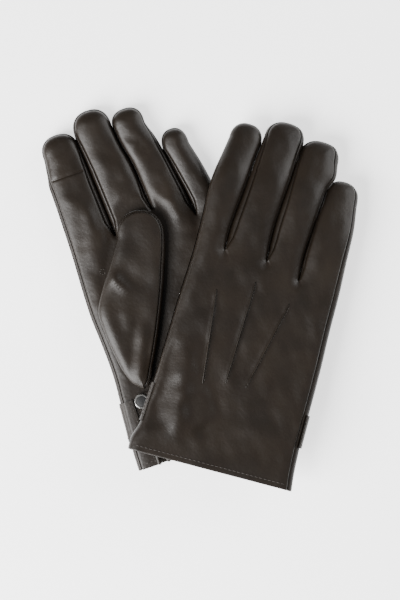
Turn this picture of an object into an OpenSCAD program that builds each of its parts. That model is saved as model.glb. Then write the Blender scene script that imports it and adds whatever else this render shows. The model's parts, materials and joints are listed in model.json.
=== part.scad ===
// A pair of lined leather touchscreen gloves, laid one on the other.
// Each glove is drawn in its own frame: x across the hand, y from the hem to the fingertips,
// z from the back of the hand (0) to the palm (glove_t). The left glove lies palm up on the
// surface. The right glove is the same pattern turned palm down, and lies on the left one.

/* [Glove] */
// Thickness of a glove lying flat, without its thumb
glove_t = 12; // [11:0.5:14]
// Width of the cuff at the hem
hem_w = 115.6; // [112:0.2:120]
// Thickness of the leather
leather_t = 1; // [0.8:0.1:1.1]
// Thickness of the knitted lining
lining_t = 1; // [0.8:0.1:1.1]
// Thickness of the left glove's folded thumb
left_thumb_t = 8; // [7.5:0.5:9]
// Thickness of the right glove's thumb, pressed flat under its palm
right_thumb_t = 6; // [5.5:0.5:6]
// Depth of the leather facing inside the hem
facing_d = 18; // [12:1:20]

/* [Strap] */
// Width of the strap's narrow end
strap_w = 10.4; // [10:0.2:11]
// Width of the strap where it goes round the edge of the hand
anchor_w = 23; // [18:1:24]
// Width of the stitched tab on the thumb side
tab_w = 27; // [20:1:27]
// Radius of the press stud's cap
cap_r = 5.2; // [4.5:0.1:5.2]

/* [Lay] */
// Turn of the left glove about the upright axis
left_turn = 18.9; // [15:0.1:20]
// Turn of the right glove about the upright axis
right_turn = -14.9; // [-16:0.1:-12]
// Height of the right glove's palm over the surface, at its thumb
right_rise = 21.8; // [21.8:0.1:26]
// Side-to-side lean of the right glove
right_roll = 2.8; // [2:0.1:2.8]
// Lean of the right glove towards its fingertips
right_pitch = -2; // [-2:0.1:-1]
// Droop of the right glove's fingers past their middle joints
right_droop = -15; // [-15:1:0]

/* [Hidden] */
GLOVES = ["left", "right"];
PIECES = [
  "back_leather", "palm_leather", "fourchette_index_middle", "fourchette_middle_ring",
  "fourchette_ring_little", "hand_lining", "hem_facing", "hem_stitching", "point_stitching",
  "vent_binding", "wrist_elastic", "strap_tab", "strap_anchor", "strap", "snap_stud", "snap_post",
  "snap_cap", "snap_socket", "thumb_front", "thumb_back", "thumb_lining", "index_touch_tip",
  "index_finger", "middle_finger", "ring_finger", "little_finger",
  "index_lining", "middle_lining", "ring_lining", "little_lining"
];

$fn = 48;
INDEX = 0;
MIDDLE = 1;
RING = 2;
LITTLE = 3;
FINGERS = [INDEX, MIDDLE, RING, LITTLE];

// Lines between the fingers, from the crotch up: the outer edge on the thumb side, the three
// gaps, and the outer edge on the little finger's side.
left_lines = [
  [[-53, 150], [-52.7, 187]],
  [[-21, 159], [-22.6, 197]],
  [[8, 168], [6, 201]],
  [[35, 156], [33, 188.5]],
  [[53, 150], [50.5, 176]]
];
right_lines = [
  [[-50, 150], [-50, 182]],
  [[-29, 148], [-24, 192]],
  [[1, 147], [5.7, 193]],
  [[25, 139], [28, 185]],
  [[53.5, 150], [53, 184]]
];
// Fingertips: the centre and the radius of each round end
left_tips = [[-37.5, 224.3, 13], [-10.8, 233.4, 12.4], [14.2, 228, 11.8], [39.9, 205, 8.9]];
right_tips = [[-34.3, 226, 12.4], [-7.5, 232.6, 13.1], [19.7, 226.6, 12.4], [42, 204.6, 10.6]];
// Where each finger bends at its middle joint
bend_y = [193, 200, 194, 177];

side_gap = 0.4;      // half the gap between neighbouring fingers
seam_gap = 0.05;     // keeps sewn panels separate solids
slip = 0.5;          // clearance round a bending finger's end
slack_t = 0.6;       // room between leather and lining
finger_root = 12;    // how far a finger's outline runs down into the hand
touch_seam_y = 209;  // seam between the index finger's palm side and its touchscreen tip

lining_out = leather_t + slack_t;
lining_in = lining_out + lining_t;
facing_in = lining_in + 0.9;
knuckle_r = glove_t / 2;

left_hem = [12.2, -100.4];
right_hem = [5.8, -117.4];
thumb_root = [-30, 80];

thumb_gap = 0.5;
thumb_z = glove_t + thumb_gap;
snap = [-40, 45];
snap_base_r = 4.4;
shank_r = 1.3;
nipple_r = 1.9;
strap_t = 1.2;
strap_z = glove_t + 1.5;
strap_hinge = -14;   // where the strap's free end folds up
anchor_y = 30;       // the strap's lower edge at the edge of the hand
tab_y = 21;
tab_x = [-56.2, -46];
vent_x = -39;
vent_top = 35;
vent_w = 6;
stitch_y = 3.7;
stitch_w = 0.7;
groove_d = 0.4;

// The three raised points on the back of the hand: each one's lower and upper end
points = [[[-20.5, 56], [-27.5, 120]], [[-5, 60], [-3, 131]], [[9, 61], [23, 123]]];

leather_colour = [0.17, 0.15, 0.13];
lining_colour = [0.10, 0.10, 0.10];
thread_colour = [0.12, 0.10, 0.09];
metal_colour = [0.55, 0.55, 0.54];

function lines_of(g) = g == "left" ? left_lines : right_lines;
function tips_of(g) = g == "left" ? left_tips : right_tips;
function thumb_t(g) = g == "left" ? left_thumb_t : right_thumb_t;
function half_wall(g) = thumb_t(g) / 2 - leather_t - seam_gap / 2;

// ---- Outlines in the plane of the glove ----

// One finger's outline, taken in by inset on all sides but its root
module finger_outline(g, k, inset) {
  a = lines_of(g)[k];
  b = lines_of(g)[k + 1];
  tip = tips_of(g)[k];
  i = inset + side_gap;
  r = tip[2] - i;
  polygon([
    [a[0][0] + i, a[0][1] - finger_root], [a[0][0] + i, a[0][1]], [a[1][0] + i, a[1][1]],
    [tip[0] - r, tip[1]], [tip[0] + r, tip[1]],
    [b[1][0] - i, b[1][1]], [b[0][0] - i, b[0][1]], [b[0][0] - i, b[0][1] - finger_root]
  ]);
  translate([tip[0], tip[1]]) circle(r);
}

// The hand from the hem to the crotches of the fingers
module hand_outline(g, inset) {
  l = lines_of(g);
  hem = inset > 0 ? -1 : 0;
  half = hem_w / 2;
  polygon([
    [-half + inset, hem], [-half + 3.8 + inset, 25], [-half + 4.8 + inset, 45],
    [l[0][0][0] + inset, 110], [l[0][0][0] + inset, l[0][0][1]],
    [l[1][0][0], l[1][0][1] - inset], [l[2][0][0], l[2][0][1] - inset], [l[3][0][0], l[3][0][1] - inset],
    [l[4][0][0] - inset, l[4][0][1]], [half - 1.8 - inset, 100], [half - 1.8 - inset, 50],
    [half - inset, hem]
  ]);
}

// The hand with each finger up to its middle joint
module near_outline(g, inset) {
  hand_outline(g, inset);
  for (k = FINGERS) {
    intersection() {
      finger_outline(g, k, inset);
      translate([-100, 0]) square([200, bend_y[k] - knuckle_r - slip]);
    }
  }
}

// The thumb, folded across the palm
module thumb_outline(inset) {
  i = inset;
  polygon([
    [-34 + i, 53 + 2 * i], [-45 + i, 117.5], [-32.5 + i, 137 - i], [-14.6 + i, 158.5 - i / 3],
    [8.6 - i, 151.5], [9 - i, 145], [0 - i, 112], [-17 - i, 82], [-29 - i, 59 + i]
  ]);
  translate([-3, 157.5]) circle(12 - i);
}

// The hole in the palm that the thumb is sewn to
module thumb_hole() {
  translate([-31, 101]) circle(7);
  polygon([[-38, 101], [-33, 66], [-31, 66], [-24, 101]]);
}

module vent_hole(grow) {
  translate([vent_x - vent_w / 2 - grow, -2]) square([vent_w + 2 * grow, vent_top + 2]);
  translate([vent_x, vent_top]) circle(vent_w / 2 + grow);
}

// ---- Slabs and walls ----

module slab(z0, z1) {
  translate([0, 0, z0]) linear_extrude(z1 - z0) children();
}

// A stretch of the side wall, between x0 and x1 over the fingers, and down one side of the hand
module side_wall(g, x0, x1, low) {
  slab(leather_t + seam_gap, glove_t - leather_t - seam_gap) {
    intersection() {
      difference() {
        near_outline(g, 0);
        near_outline(g, leather_t);
      }
      translate([x0, low]) square([x1 - x0, 300]);
    }
  }
}

module hem_groove(z) {
  translate([-80, stitch_y - stitch_w / 2 - 0.1, z]) cube([160, stitch_w + 0.2, groove_d]);
}

module point_line(p, w) {
  polygon([
    [p[0][0] - w / 2, p[0][1]], [p[0][0] + w / 2, p[0][1]],
    [p[1][0] + w / 2, p[1][1]], [p[1][0] - w / 2, p[1][1]]
  ]);
}

// ---- Leather of the hand ----

module back_leather(g) {
  color(leather_colour) {
    difference() {
      slab(0, leather_t) near_outline(g, 0);
      hem_groove(0);
      for (p = points) slab(-1, groove_d) point_line(p, stitch_w + 0.2);
    }
    side_wall(g, -80, tips_of(g)[INDEX][0], -1);
  }
}

module palm_leather(g) {
  color(leather_colour) {
    difference() {
      slab(glove_t - leather_t, glove_t) {
        difference() {
          near_outline(g, 0);
          thumb_hole();
          vent_hole(0);
        }
      }
      hem_groove(glove_t - groove_d);
      translate([snap[0], snap[1], 0]) cylinder(r = shank_r + 0.05, h = glove_t + 1);
    }
    side_wall(g, tips_of(g)[LITTLE][0], 80, -1);
  }
}

// The folded strip between two fingers: two side strips and the web at the crotch
module fourchette(g, k) {
  color(leather_colour)
    side_wall(g, tips_of(g)[k][0] + 0.1, tips_of(g)[k + 1][0] - 0.1, 120);
}

module hem_facing(g) {
  color(leather_colour) {
    difference() {
      slab(lining_in + seam_gap, glove_t - lining_in - seam_gap) {
        intersection() {
          difference() {
            hand_outline(g, lining_in + seam_gap);
            hand_outline(g, facing_in);
          }
          translate([-80, 0.2]) square([160, facing_d]);
        }
      }
    }
    for (z = [lining_in + seam_gap, glove_t - facing_in]) {
      slab(z, z + facing_in - lining_in - seam_gap) {
        difference() {
          intersection() {
            hand_outline(g, facing_in + seam_gap);
            translate([-80, 0.2]) square([160, facing_d]);
          }
          if (z > glove_t / 2) vent_hole(0);
        }
      }
    }
  }
}

module hem_stitching(g) {
  half = hem_w / 2 - 1.5;
  color(thread_colour) {
    translate([-half, stitch_y - stitch_w / 2, 0.05]) cube([2 * half, stitch_w, groove_d - 0.1]);
    for (x = [[-half, vent_x - vent_w / 2 - 1], [vent_x + vent_w / 2 + 1, half]])
      translate([x[0], stitch_y - stitch_w / 2, glove_t - groove_d + 0.05])
        cube([x[1] - x[0], stitch_w, groove_d - 0.1]);
  }
}

module point_stitching() {
  color(thread_colour)
    for (p = points) slab(0.05, groove_d - 0.05) point_line([p[0] + [0, 0.3], p[1] - [0, 0.3]], stitch_w);
}

module vent_binding() {
  color(leather_colour)
    slab(glove_t + seam_gap, glove_t + 0.5)
      difference() {
        intersection() {
          vent_hole(2);
          translate([-80, 5]) square([160, 100]);
        }
        vent_hole(0);
      }
}

// ---- Lining ----

module hand_lining(g) {
  color(lining_colour)
    difference() {
      slab(lining_out, glove_t - lining_out) {
        intersection() {
          near_outline(g, lining_out);
          translate([-80, 0.2]) square([160, 300]);
        }
      }
      slab(lining_in, glove_t - lining_in) near_outline(g, lining_in);
      slab(glove_t / 2, glove_t) {
        thumb_hole();
        vent_hole(0);
      }
    }
}

module wrist_elastic() {
  color(thread_colour) slab(glove_t - leather_t - 0.5, glove_t - leather_t - 0.1)
    translate([-2, 52]) square([48, 6]);
}

// ---- Strap and press stud ----

// The stitched tab that wraps the edge on the thumb side
module strap_tab() {
  color(leather_colour) {
    slab(glove_t + seam_gap, glove_t + strap_t) translate([tab_x[0], tab_y]) square([tab_x[1] - tab_x[0], tab_w]);
    slab(2, glove_t + strap_t) translate([tab_x[0], tab_y]) square([1, tab_w]);
  }
}

// The sewn length of the strap, which widens towards the edge of the hand and goes round it
module strap_anchor() {
  edge = hem_w / 2 - 0.4;
  x0 = strap_hinge + 1.2;
  color(leather_colour) {
    slab(glove_t + 0.1, glove_t + 0.1 + strap_t)
      polygon([
        [x0, snap[1] - strap_w / 2], [edge + strap_t, anchor_y],
        [edge + strap_t, anchor_y + anchor_w], [x0, snap[1] + strap_w / 2]
      ]);
    slab(1.5, glove_t + 0.1 + strap_t) translate([edge, anchor_y]) square([strap_t, anchor_w]);
  }
}

// The free end of the strap, rounded about the stud and where it folds up
module strap() {
  color(leather_colour)
    difference() {
      union() {
        slab(strap_z, strap_z + strap_t) {
          translate([snap[0], snap[1] - strap_w / 2]) square([strap_hinge - snap[0], strap_w]);
          translate(snap) circle(strap_w / 2);
        }
        translate([strap_hinge, snap[1] - strap_w / 2, strap_z + strap_t / 2])
          rotate([-90, 0, 0]) cylinder(r = strap_t / 2, h = strap_w);
      }
      translate([snap[0], snap[1], 0]) cylinder(r = shank_r + 0.05, h = 60);
    }
}

module snap_stud() {
  color(metal_colour)
    translate([snap[0], snap[1], glove_t + 0.02]) {
      cylinder(r = snap_base_r, h = 0.25);
      cylinder(r = nipple_r, h = 1.2);
    }
}

module snap_post() {
  color(metal_colour)
    translate([snap[0], snap[1], glove_t - leather_t - 0.5]) {
      cylinder(r = snap_base_r, h = 0.45);
      cylinder(r = shank_r, h = leather_t + 0.5);
    }
}

module snap_socket() {
  color(metal_colour)
    translate([snap[0], snap[1], glove_t + 0.6])
      difference() {
        cylinder(r = snap_base_r, h = strap_z - glove_t - 0.65);
        translate([0, 0, -1]) cylinder(r = nipple_r + 0.3, h = 4);
      }
}

// The cap: a raised rim round a sunk disc, with its shank through the strap
module snap_cap() {
  top = strap_z + strap_t;
  color(metal_colour)
    translate([snap[0], snap[1], 0]) {
      rotate_extrude()
        polygon([[0, top + 0.05], [cap_r, top + 0.05], [cap_r, top + 0.5], [cap_r - 0.7, top + 1.1],
                 [cap_r - 1.4, top + 1.1], [cap_r - 1.7, top + 0.6], [0, top + 0.8]]);
      translate([0, 0, strap_z]) cylinder(r = shank_r, h = strap_t + 0.1);
    }
}

// ---- Thumb ----

// One half of the thumb's leather: a panel and half of the side wall
module thumb_half(z_panel, z_wall, wall_h, holed) {
  color(leather_colour) {
    slab(z_panel, z_panel + leather_t)
      difference() {
        thumb_outline(0);
        if (holed) thumb_hole();
      }
    slab(z_wall, z_wall + wall_h)
      difference() {
        thumb_outline(0);
        thumb_outline(leather_t);
      }
  }
}

module thumb_front(g) {
  thumb_half(thumb_z, thumb_z + leather_t, half_wall(g), true);
}

module thumb_back(g) {
  panel = thumb_z + thumb_t(g) - leather_t;
  thumb_half(panel, panel - half_wall(g), half_wall(g), false);
}

module thumb_lining(g) {
  out = leather_t + 0.1;
  thin = 0.7;
  color(lining_colour)
    difference() {
      slab(thumb_z + out, thumb_z + thumb_t(g) - out) thumb_outline(out);
      slab(thumb_z + out + thin, thumb_z + thumb_t(g) - out - thin) thumb_outline(out + thin);
      slab(thumb_z, thumb_z + thumb_t(g) / 2) thumb_hole();
    }
}

// ---- Fingers past their middle joints ----

// Keeps what lies beyond the joint, with a round end that turns clear of the hand
module beyond_bend(k) {
  intersection() {
    children();
    union() {
      translate([-100, bend_y[k], -5]) cube([200, 100, glove_t + 10]);
      translate([-100, bend_y[k], glove_t / 2]) rotate([0, 90, 0]) cylinder(r = knuckle_r, h = 200);
    }
  }
}

module finger_palm_panel(g, k, y0, y1) {
  slab(glove_t - leather_t, glove_t)
    intersection() {
      finger_outline(g, k, 0);
      translate([-100, y0]) square([200, y1 - y0]);
    }
}

module finger_leather(g, k) {
  palm_end = k == INDEX ? touch_seam_y - seam_gap : 300;
  color(leather_colour)
    beyond_bend(k) {
      union() {
        slab(0, leather_t) finger_outline(g, k, 0);
        finger_palm_panel(g, k, 0, palm_end);
        slab(leather_t + seam_gap, glove_t - leather_t - seam_gap)
          difference() {
            finger_outline(g, k, 0);
            finger_outline(g, k, leather_t);
          }
      }
    }
}

module touch_tip(g) {
  color(leather_colour) finger_palm_panel(g, INDEX, touch_seam_y + seam_gap, 300);
}

module finger_lining(g, k) {
  color(lining_colour)
    beyond_bend(k)
      difference() {
        slab(lining_out, glove_t - lining_out) finger_outline(g, k, lining_out);
        slab(lining_in, glove_t - lining_in) finger_outline(g, k, lining_in);
      }
}

// ---- Lay of the pair ----

// Lays a glove in the pair: the left one palm up, the right one palm down across it
module lay(g) {
  if (g == "left")
    translate([left_hem[0], left_hem[1], 0]) rotate([0, 0, left_turn]) children();
  else
    translate([right_hem[0], right_hem[1], 0]) rotate([0, 0, right_turn])
      translate([thumb_root[0], thumb_root[1], right_rise]) rotate([right_pitch, right_roll, 0])
        translate([-thumb_root[0], -thumb_root[1], 0]) mirror([0, 0, 1]) translate([0, 0, -glove_t])
          children();
}

// Lets the right glove's fingers droop about their middle joints
module droop(g, k) {
  turn = g == "left" ? 0 : -right_droop;
  translate([0, bend_y[k], glove_t / 2]) rotate([turn, 0, 0])
    translate([0, -bend_y[k], -glove_t / 2]) children();
}

module piece(g, p) {
  if (p == "back_leather") back_leather(g);
  if (p == "palm_leather") palm_leather(g);
  if (p == "fourchette_index_middle") fourchette(g, INDEX);
  if (p == "fourchette_middle_ring") fourchette(g, MIDDLE);
  if (p == "fourchette_ring_little") fourchette(g, RING);
  if (p == "hand_lining") hand_lining(g);
  if (p == "hem_facing") hem_facing(g);
  if (p == "hem_stitching") hem_stitching(g);
  if (p == "point_stitching") point_stitching();
  if (p == "vent_binding") vent_binding();
  if (p == "wrist_elastic") wrist_elastic();
  if (p == "strap_tab") strap_tab();
  if (p == "strap_anchor") strap_anchor();
  if (p == "strap") strap();
  if (p == "snap_stud") snap_stud();
  if (p == "snap_post") snap_post();
  if (p == "snap_cap") snap_cap();
  if (p == "snap_socket") snap_socket();
  if (p == "thumb_front") thumb_front(g);
  if (p == "thumb_back") thumb_back(g);
  if (p == "thumb_lining") thumb_lining(g);
  if (p == "index_touch_tip") droop(g, INDEX) touch_tip(g);
  for (k = FINGERS) {
    name = ["index", "middle", "ring", "little"][k];
    if (p == str(name, "_finger")) droop(g, k) finger_leather(g, k);
    if (p == str(name, "_lining")) droop(g, k) finger_lining(g, k);
  }
}

for (g = GLOVES)
  for (p = PIECES)
    lay(g) piece(g, p);
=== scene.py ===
"""A pair of lined leather touchscreen gloves lying crossed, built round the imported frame.

Every surface is worked out in its glove's own plan: x runs across the hand, y from the hem to the
fingertips and h is the height above or below the middle plane of the glove. A lay then puts the
glove in its place, and the upper glove is the mirror image of the lower one.
"""

import json

import bpy
import numpy as np
from bpy.props import FloatProperty, FloatVectorProperty, PointerProperty
from mathutils import Matrix, Vector


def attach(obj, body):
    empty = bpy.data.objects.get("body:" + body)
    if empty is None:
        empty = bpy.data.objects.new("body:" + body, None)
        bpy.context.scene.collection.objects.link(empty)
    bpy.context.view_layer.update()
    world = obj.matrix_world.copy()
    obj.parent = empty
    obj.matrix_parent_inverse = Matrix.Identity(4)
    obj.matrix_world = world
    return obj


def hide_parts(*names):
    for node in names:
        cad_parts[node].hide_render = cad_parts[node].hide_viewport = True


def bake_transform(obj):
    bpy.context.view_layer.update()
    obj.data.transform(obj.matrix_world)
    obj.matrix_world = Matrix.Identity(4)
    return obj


bl_info = {
    "name": "Touchscreen Gloves",
    "version": (1, 0, 0),
    "blender": (4, 5, 0),
    "location": "View3D > Sidebar > Gloves",
    "description": "Builds a crossed pair of lined leather gloves round their packed frame",
    "category": "Add Mesh",
}

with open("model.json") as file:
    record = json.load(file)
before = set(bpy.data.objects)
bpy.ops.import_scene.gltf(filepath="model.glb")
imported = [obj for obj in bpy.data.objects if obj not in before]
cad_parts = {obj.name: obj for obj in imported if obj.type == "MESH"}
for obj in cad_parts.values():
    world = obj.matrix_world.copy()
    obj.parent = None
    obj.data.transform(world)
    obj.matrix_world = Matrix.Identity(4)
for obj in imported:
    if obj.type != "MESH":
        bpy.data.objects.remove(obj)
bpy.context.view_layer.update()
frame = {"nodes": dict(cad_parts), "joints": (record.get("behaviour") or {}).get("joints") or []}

MM = 0.001
FINGERS = ("index", "middle", "ring", "little")
SIDES = ("left", "right")
MIDDLE_PLANE = 6.0

# ---- The cutting pattern, in millimetres ----
# Each line is a list of (along, across) points. A seam is a list of (along, how far in from the line).
# A gap has the place of its crotch, its own line, and the seams of the finger on its thumb side (low) and
# of the one on its other side (high). A tip has the row where its round starts, its top, and how far in
# the seam lies there.

PATTERN = {
    "left": {
        "thumb_side": ((0, -57.8), (14, -57.4), (31, -56), (48, -54.8), (65, -53.5), (94, -54),
                       (109, -54.8), (135, -54.2), (152, -53.4), (187, -52.8), (205, -52.6), (223, -50.4)),
        "little_side": ((0, 57.8), (14, 57), (50, 56), (100, 56), (150, 55.5), (171, 54.6),
                        (185, 52.4), (203, 48.2)),
        "thumb_seam": ((0, 2.6), (200, 2.2), (210, 1.2), (223, 0.9)),
        "little_seam": ((0, 3.2), (203, 2.4)),
        "gaps": (
            {"crotch": (159, -20.3),
             "line": ((159, -20.3), (176, -21.2), (196, -22.3), (213, -23.4), (229, -24.8)),
             "low_seam": ((159, 2.0), (170, 3.5), (200, 3.4), (215, 2.4), (223, 1.3)),
             "high_seam": ((159, 2.0), (170, 3.2), (205, 3.0), (225, 2.2), (232, 1.4))},
            {"crotch": (168, 8.7), "line": ((168, 8.7), (185, 7.6), (201, 6.3), (218, 3), (232, 1.6)),
             "low_seam": ((168, 2.0), (178, 2.4), (190, 1.1), (232, 0.9)),
             "high_seam": ((168, 1.0), (226, 0.9))},
            {"crotch": (155, 37),
             "line": ((155, 37), (170, 35.4), (185, 33), (200, 30.6), (214, 27.3), (226, 23.9)),
             "low_seam": ((155, 1.8), (165, 3.0), (200, 2.6), (226, 1.0)),
             "high_seam": ((155, 2.0), (165, 2.8), (190, 2.2), (203, 1.3))},
        ),
        "tips": ((225, 237.8, 0.8), (233, 246.8, 1.0), (229.5, 239.9, 0.9), (204, 216.4, 0.9)),
    },
    "right": {
        "thumb_side": ((0, -57.8), (8, -57.9), (18, -55), (36, -53.4), (71, -51.8), (107, -50.6),
                       (150, -48.8), (168, -49.2), (182, -50), (200, -49), (213, -46.9), (225, -45)),
        "little_side": ((0, 57.8), (10, 56.7), (27, 55.8), (61, 56), (87, 56), (112, 55.4), (138, 55.3),
                        (163, 54.4), (184, 53.9), (201, 52)),
        "thumb_seam": ((0, 2.6), (225, 1.0)),
        "little_seam": ((0, 3.6), (140, 4.0), (175, 3.1), (201, 2.7)),
        "gaps": (
            {"crotch": (148.5, -28.7), "line": ((148.5, -28.7), (166, -28.5), (181, -27.1), (198, -25.3),
                                                (215, -23.7), (232, -21.4)),
             "low_seam": ((148, 1.3), (170, 1.0), (225, 0.9)),
             "high_seam": ((148, 2.6), (165, 4.2), (180, 4.0), (215, 3.0), (232, 1.6))},
            {"crotch": (148.5, 0.9),
             "line": ((148.5, 0.9), (172, 0.4), (188, 1.3), (205, 2.6), (220, 3.8), (233, 6)),
             "low_seam": ((149, 1.0), (210, 0.9), (218, 1.5), (232, 3.0)),
             "high_seam": ((149, 2.4), (165, 3.8), (190, 3.7), (205, 2.6), (226, 1.5))},
            {"crotch": (141, 25.6), "line": ((141, 25.6), (160, 25.3), (175, 26.1), (194, 27.1), (206, 28.9),
                                             (215, 32.8), (226, 32.2)),
             "low_seam": ((141, 0.9), (203, 0.9), (212, 2.2), (226, 3.4)),
             "high_seam": ((141, 1.8), (201, 1.2))},
        ),
        "tips": ((225, 238, 1.0), (232, 245.4, 1.4), (226, 239, 1.4), (201, 215.9, 1.1)),
    },
}

# Half the width of a gap between two fingers: below zero, because they press on each other
GAP_HALF = -0.03
# How far above a crotch its gap is fully open, and how far above it the web's foremost point lies
CROTCH_DEPTH = 9.0
CROTCH_WEB = 2.2
# The inset from which a seam lies at its full height, and how high and how far out the leather beside
# a sunk seam stands up
WIDE_SEAM = 2.8
CREASE = 0.42
CREASE_REACH = 0.65
# How much flatter than the middle plane the side that a glove lies on is
LOWER_CLEAR = {"left": 1.15, "right": 0.0}

# Where each finger bends, how far before that its own piece starts, and how far past it the bend ends
BEND = (193, 200, 194, 177)
SPLIT_BEFORE = 12
BLEND_AFTER = 9

# The three raised points on the back: each one's lower and upper end
POINTS = (((-20.3, 55.6), (-27.5, 120)), ((-5.2, 59.7), (-2.9, 131.7)), ((9, 60.6), (23, 122.9)))

# Soft folds: the sheet that they are on, two ends, width and height
FOLDS = {
    ("left", "palm"): (
        ((0, 226), (19, 206), 5.0, -0.8), ((4, 216), (14, 213), 3.5, 0.7),
        ((-50, 196), (-30, 178), 6.0, 0.9), ((-40, 146), (-33, 178), 6.0, 1.5),
        ((-12, 185), (2, 176), 6.0, 0.7), ((-40, 120), (-50, 90), 5.0, 0.8),
        ((-20, 215), (-6, 205), 8.0, 0.5), ((12, 150), (30, 170), 7.0, 0.8),
    ),
    ("right", "back"): (
        ((-29, 14), (-35, 80), 8.0, 2.7), ((-46, 22), (-46, 84), 5.0, -1.3), ((-12, 42), (-21, 18), 6.0, 1.4),
        ((-34, 44), (-16, 50), 5.0, 0.9), ((-30, 14), (-8, 26), 6.0, -0.9), ((-2, 30), (-12, 62), 6.0, -0.6),
        ((-34, 172), (-24, 154), 4.0, -0.5), ((1, 145), (3, 128), 4.5, 0.8),
        ((27, 138), (22, 118), 5.0, 0.6), ((-28, 146), (-26, 128), 5.0, 0.6),
        ((36, 40), (40, 110), 12.0, -0.5), ((-38, 110), (-42, 150), 9.0, 0.5),
    ),
    ("left", "thumb"): (
        ((-33, 135), (-24, 119), 3.2, 1.4), ((-22, 134), (-12, 118), 6.0, -0.9),
        ((-22, 93), (-37, 61), 4.5, 1.1), ((-31, 108), (-32, 95), 4.0, 0.7), ((-27, 96), (-41, 66), 3.6, -0.5),
        ((-26, 73), (-32, 59), 2.6, 0.7), ((-14, 98), (-28, 70), 4.0, -0.4), ((-40, 112), (-44, 84), 5.0, 0.4),
    ),
}

LOWER_SIDE = {"left": "back", "right": "palm"}
STRAP_LINE = ((-44, 45), (-16, 45))
THUMB_LINE = ((-36, 66), (-22, 112), (-2, 156))
TOUCH_SEAM = 208.0
HEM_FOLD = 0.85

# The thumb's outline from its base to the start of its round tip: (how far along, x, y)
THUMB = {
    "low": ((0, -35.5, 52.2), (0.06, -41, 57.5), (0.15, -44.8, 66), (0.3, -47.6, 82), (0.45, -49.2, 101),
            (0.55, -48.2, 113.5), (0.65, -40.8, 126.5), (0.77, -29.6, 141.5), (0.88, -19.5, 156.5)),
    "high": ((0, -35.5, 52.2), (0.06, -30.5, 55.5), (0.15, -24, 67), (0.3, -15, 83.5), (0.45, -6, 102),
             (0.55, 0, 115.5), (0.65, 4.5, 127), (0.77, 9.3, 139.5), (0.88, 12, 149.5)),
}
THUMB_THICK = {"left": 8.0, "right": 6.0}
THUMB_BASE = 12.5
# How far in the thumb's seam lies along its side and at its tip, and how long its round tip is
THUMB_SEAM = 2.7
THUMB_TIP_SEAM = 1.1
THUMB_TIP = 17.2

# Where the lining starts, where the facing ends, and how far from the hem its stitches run
LINING_START = 15.0
FACING_END = 17.5
HEM_STITCHES = 3.7

# The vent: its middle, half its width, and where its round end starts
VENT = (-39, 3.0, 35)

# The strap's hinge (x, y, z), and its free end's half width, top and thickness
STRAP_HINGE = (-14, 45, 14.1)
STRAP_HALF = 5.2
STRAP_TOP = 14.75
STRAP_THICK = 1.2

# A small ring of stitches on the left palm: its middle (x, y) and its radius
TACK = (-36.8, 138, 1.8)

# How far the fingers droop past their middle joints, in degrees, and half the stretch that bends
DROOP = {"left": 0.0, "right": 15.0}
DROOP_REACH = 11.0


def smooth(t):
    """A soft step: 0 below 0, 1 above 1, and 3t^2 - 2t^3 between them."""
    t = np.clip(t, 0.0, 1.0)
    return t * t * (3 - 2 * t)


def through(points, t):
    """The cubic Hermite curve through (t, value) points, with each slope the mean of its neighbours'."""
    knots, values = np.array(points, float).T
    slopes = np.gradient(values, knots)
    i = np.clip(np.searchsorted(knots, t, side="right") - 1, 0, len(knots) - 2)
    step = knots[i + 1] - knots[i]
    u = np.clip((t - knots[i]) / step, 0.0, 1.0)
    return (
        (2 * u**3 - 3 * u**2 + 1) * values[i] + (u**3 - 2 * u**2 + u) * step * slopes[i]
        + (3 * u**2 - 2 * u**3) * values[i + 1] + (u**3 - u**2) * step * slopes[i + 1]
    )


def waves(x, y, seed, lengths, count=6):
    """Smooth random relief from -1 to 1: a mean of sines, each with its own heading, wavelength and phase."""
    draw = np.random.default_rng(seed)
    total = np.zeros_like(x)
    for length in lengths:
        for _ in range(count):
            heading = draw.uniform(0, 2 * np.pi)
            wavelength = length * draw.uniform(0.75, 1.35)
            phase = draw.uniform(0, 2 * np.pi)
            total += np.sin(2 * np.pi * (x * np.cos(heading) + y * np.sin(heading)) / wavelength + phase)
    return total / (count * len(lengths)) ** 0.5 / 1.2


def to_seam(seams, x, y):
    """The distance from each point to the nearest seam, and the seam's height there."""
    a, ha, b, hb = seams[:, 0:2], seams[:, 2], seams[:, 3:5], seams[:, 5]
    run = b - a
    length = np.maximum((run**2).sum(axis=1), 1e-12)
    distance, height = np.empty(x.size), np.empty(x.size)
    points = np.stack([x.ravel(), y.ravel()], 1)
    for start in range(0, len(points), 1500):
        p = points[start:start + 1500, None, :] - a[None]
        t = np.clip((p * run[None]).sum(axis=2) / length, 0, 1)
        gap = ((p - t[..., None] * run[None]) ** 2).sum(axis=2)
        best = gap.argmin(axis=1)
        rows = np.arange(len(best))
        distance[start:start + 1500] = np.sqrt(gap[rows, best])
        height[start:start + 1500] = ha[best] + t[rows, best] * (hb[best] - ha[best])
    return distance.reshape(x.shape), height.reshape(x.shape)


def along_line(x, y, start, end):
    """How far each point is from a line's stretch, and how far along it, from 0 to 1."""
    start, end = np.array(start, float), np.array(end, float)
    run = end - start
    t = ((x - start[0]) * run[0] + (y - start[1]) * run[1]) / (run @ run)
    inside = np.clip(t, 0, 1)
    distance = np.hypot(x - start[0] - inside * run[0], y - start[1] - inside * run[1])
    return distance, inside, t


# ---- Sheets of leather ----


def crease(distance, share):
    """How the leather stands up on both sides of a sunk seam: d e^(1 - d), with its peak at the reach.

    The share is the seam's height over the full seam height: a seam rolled over the edge has no crease.
    """
    d = distance / CREASE_REACH
    return CREASE * np.clip((share - 0.55) / 0.3, 0, 1) * d * np.exp(1 - d)


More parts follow.
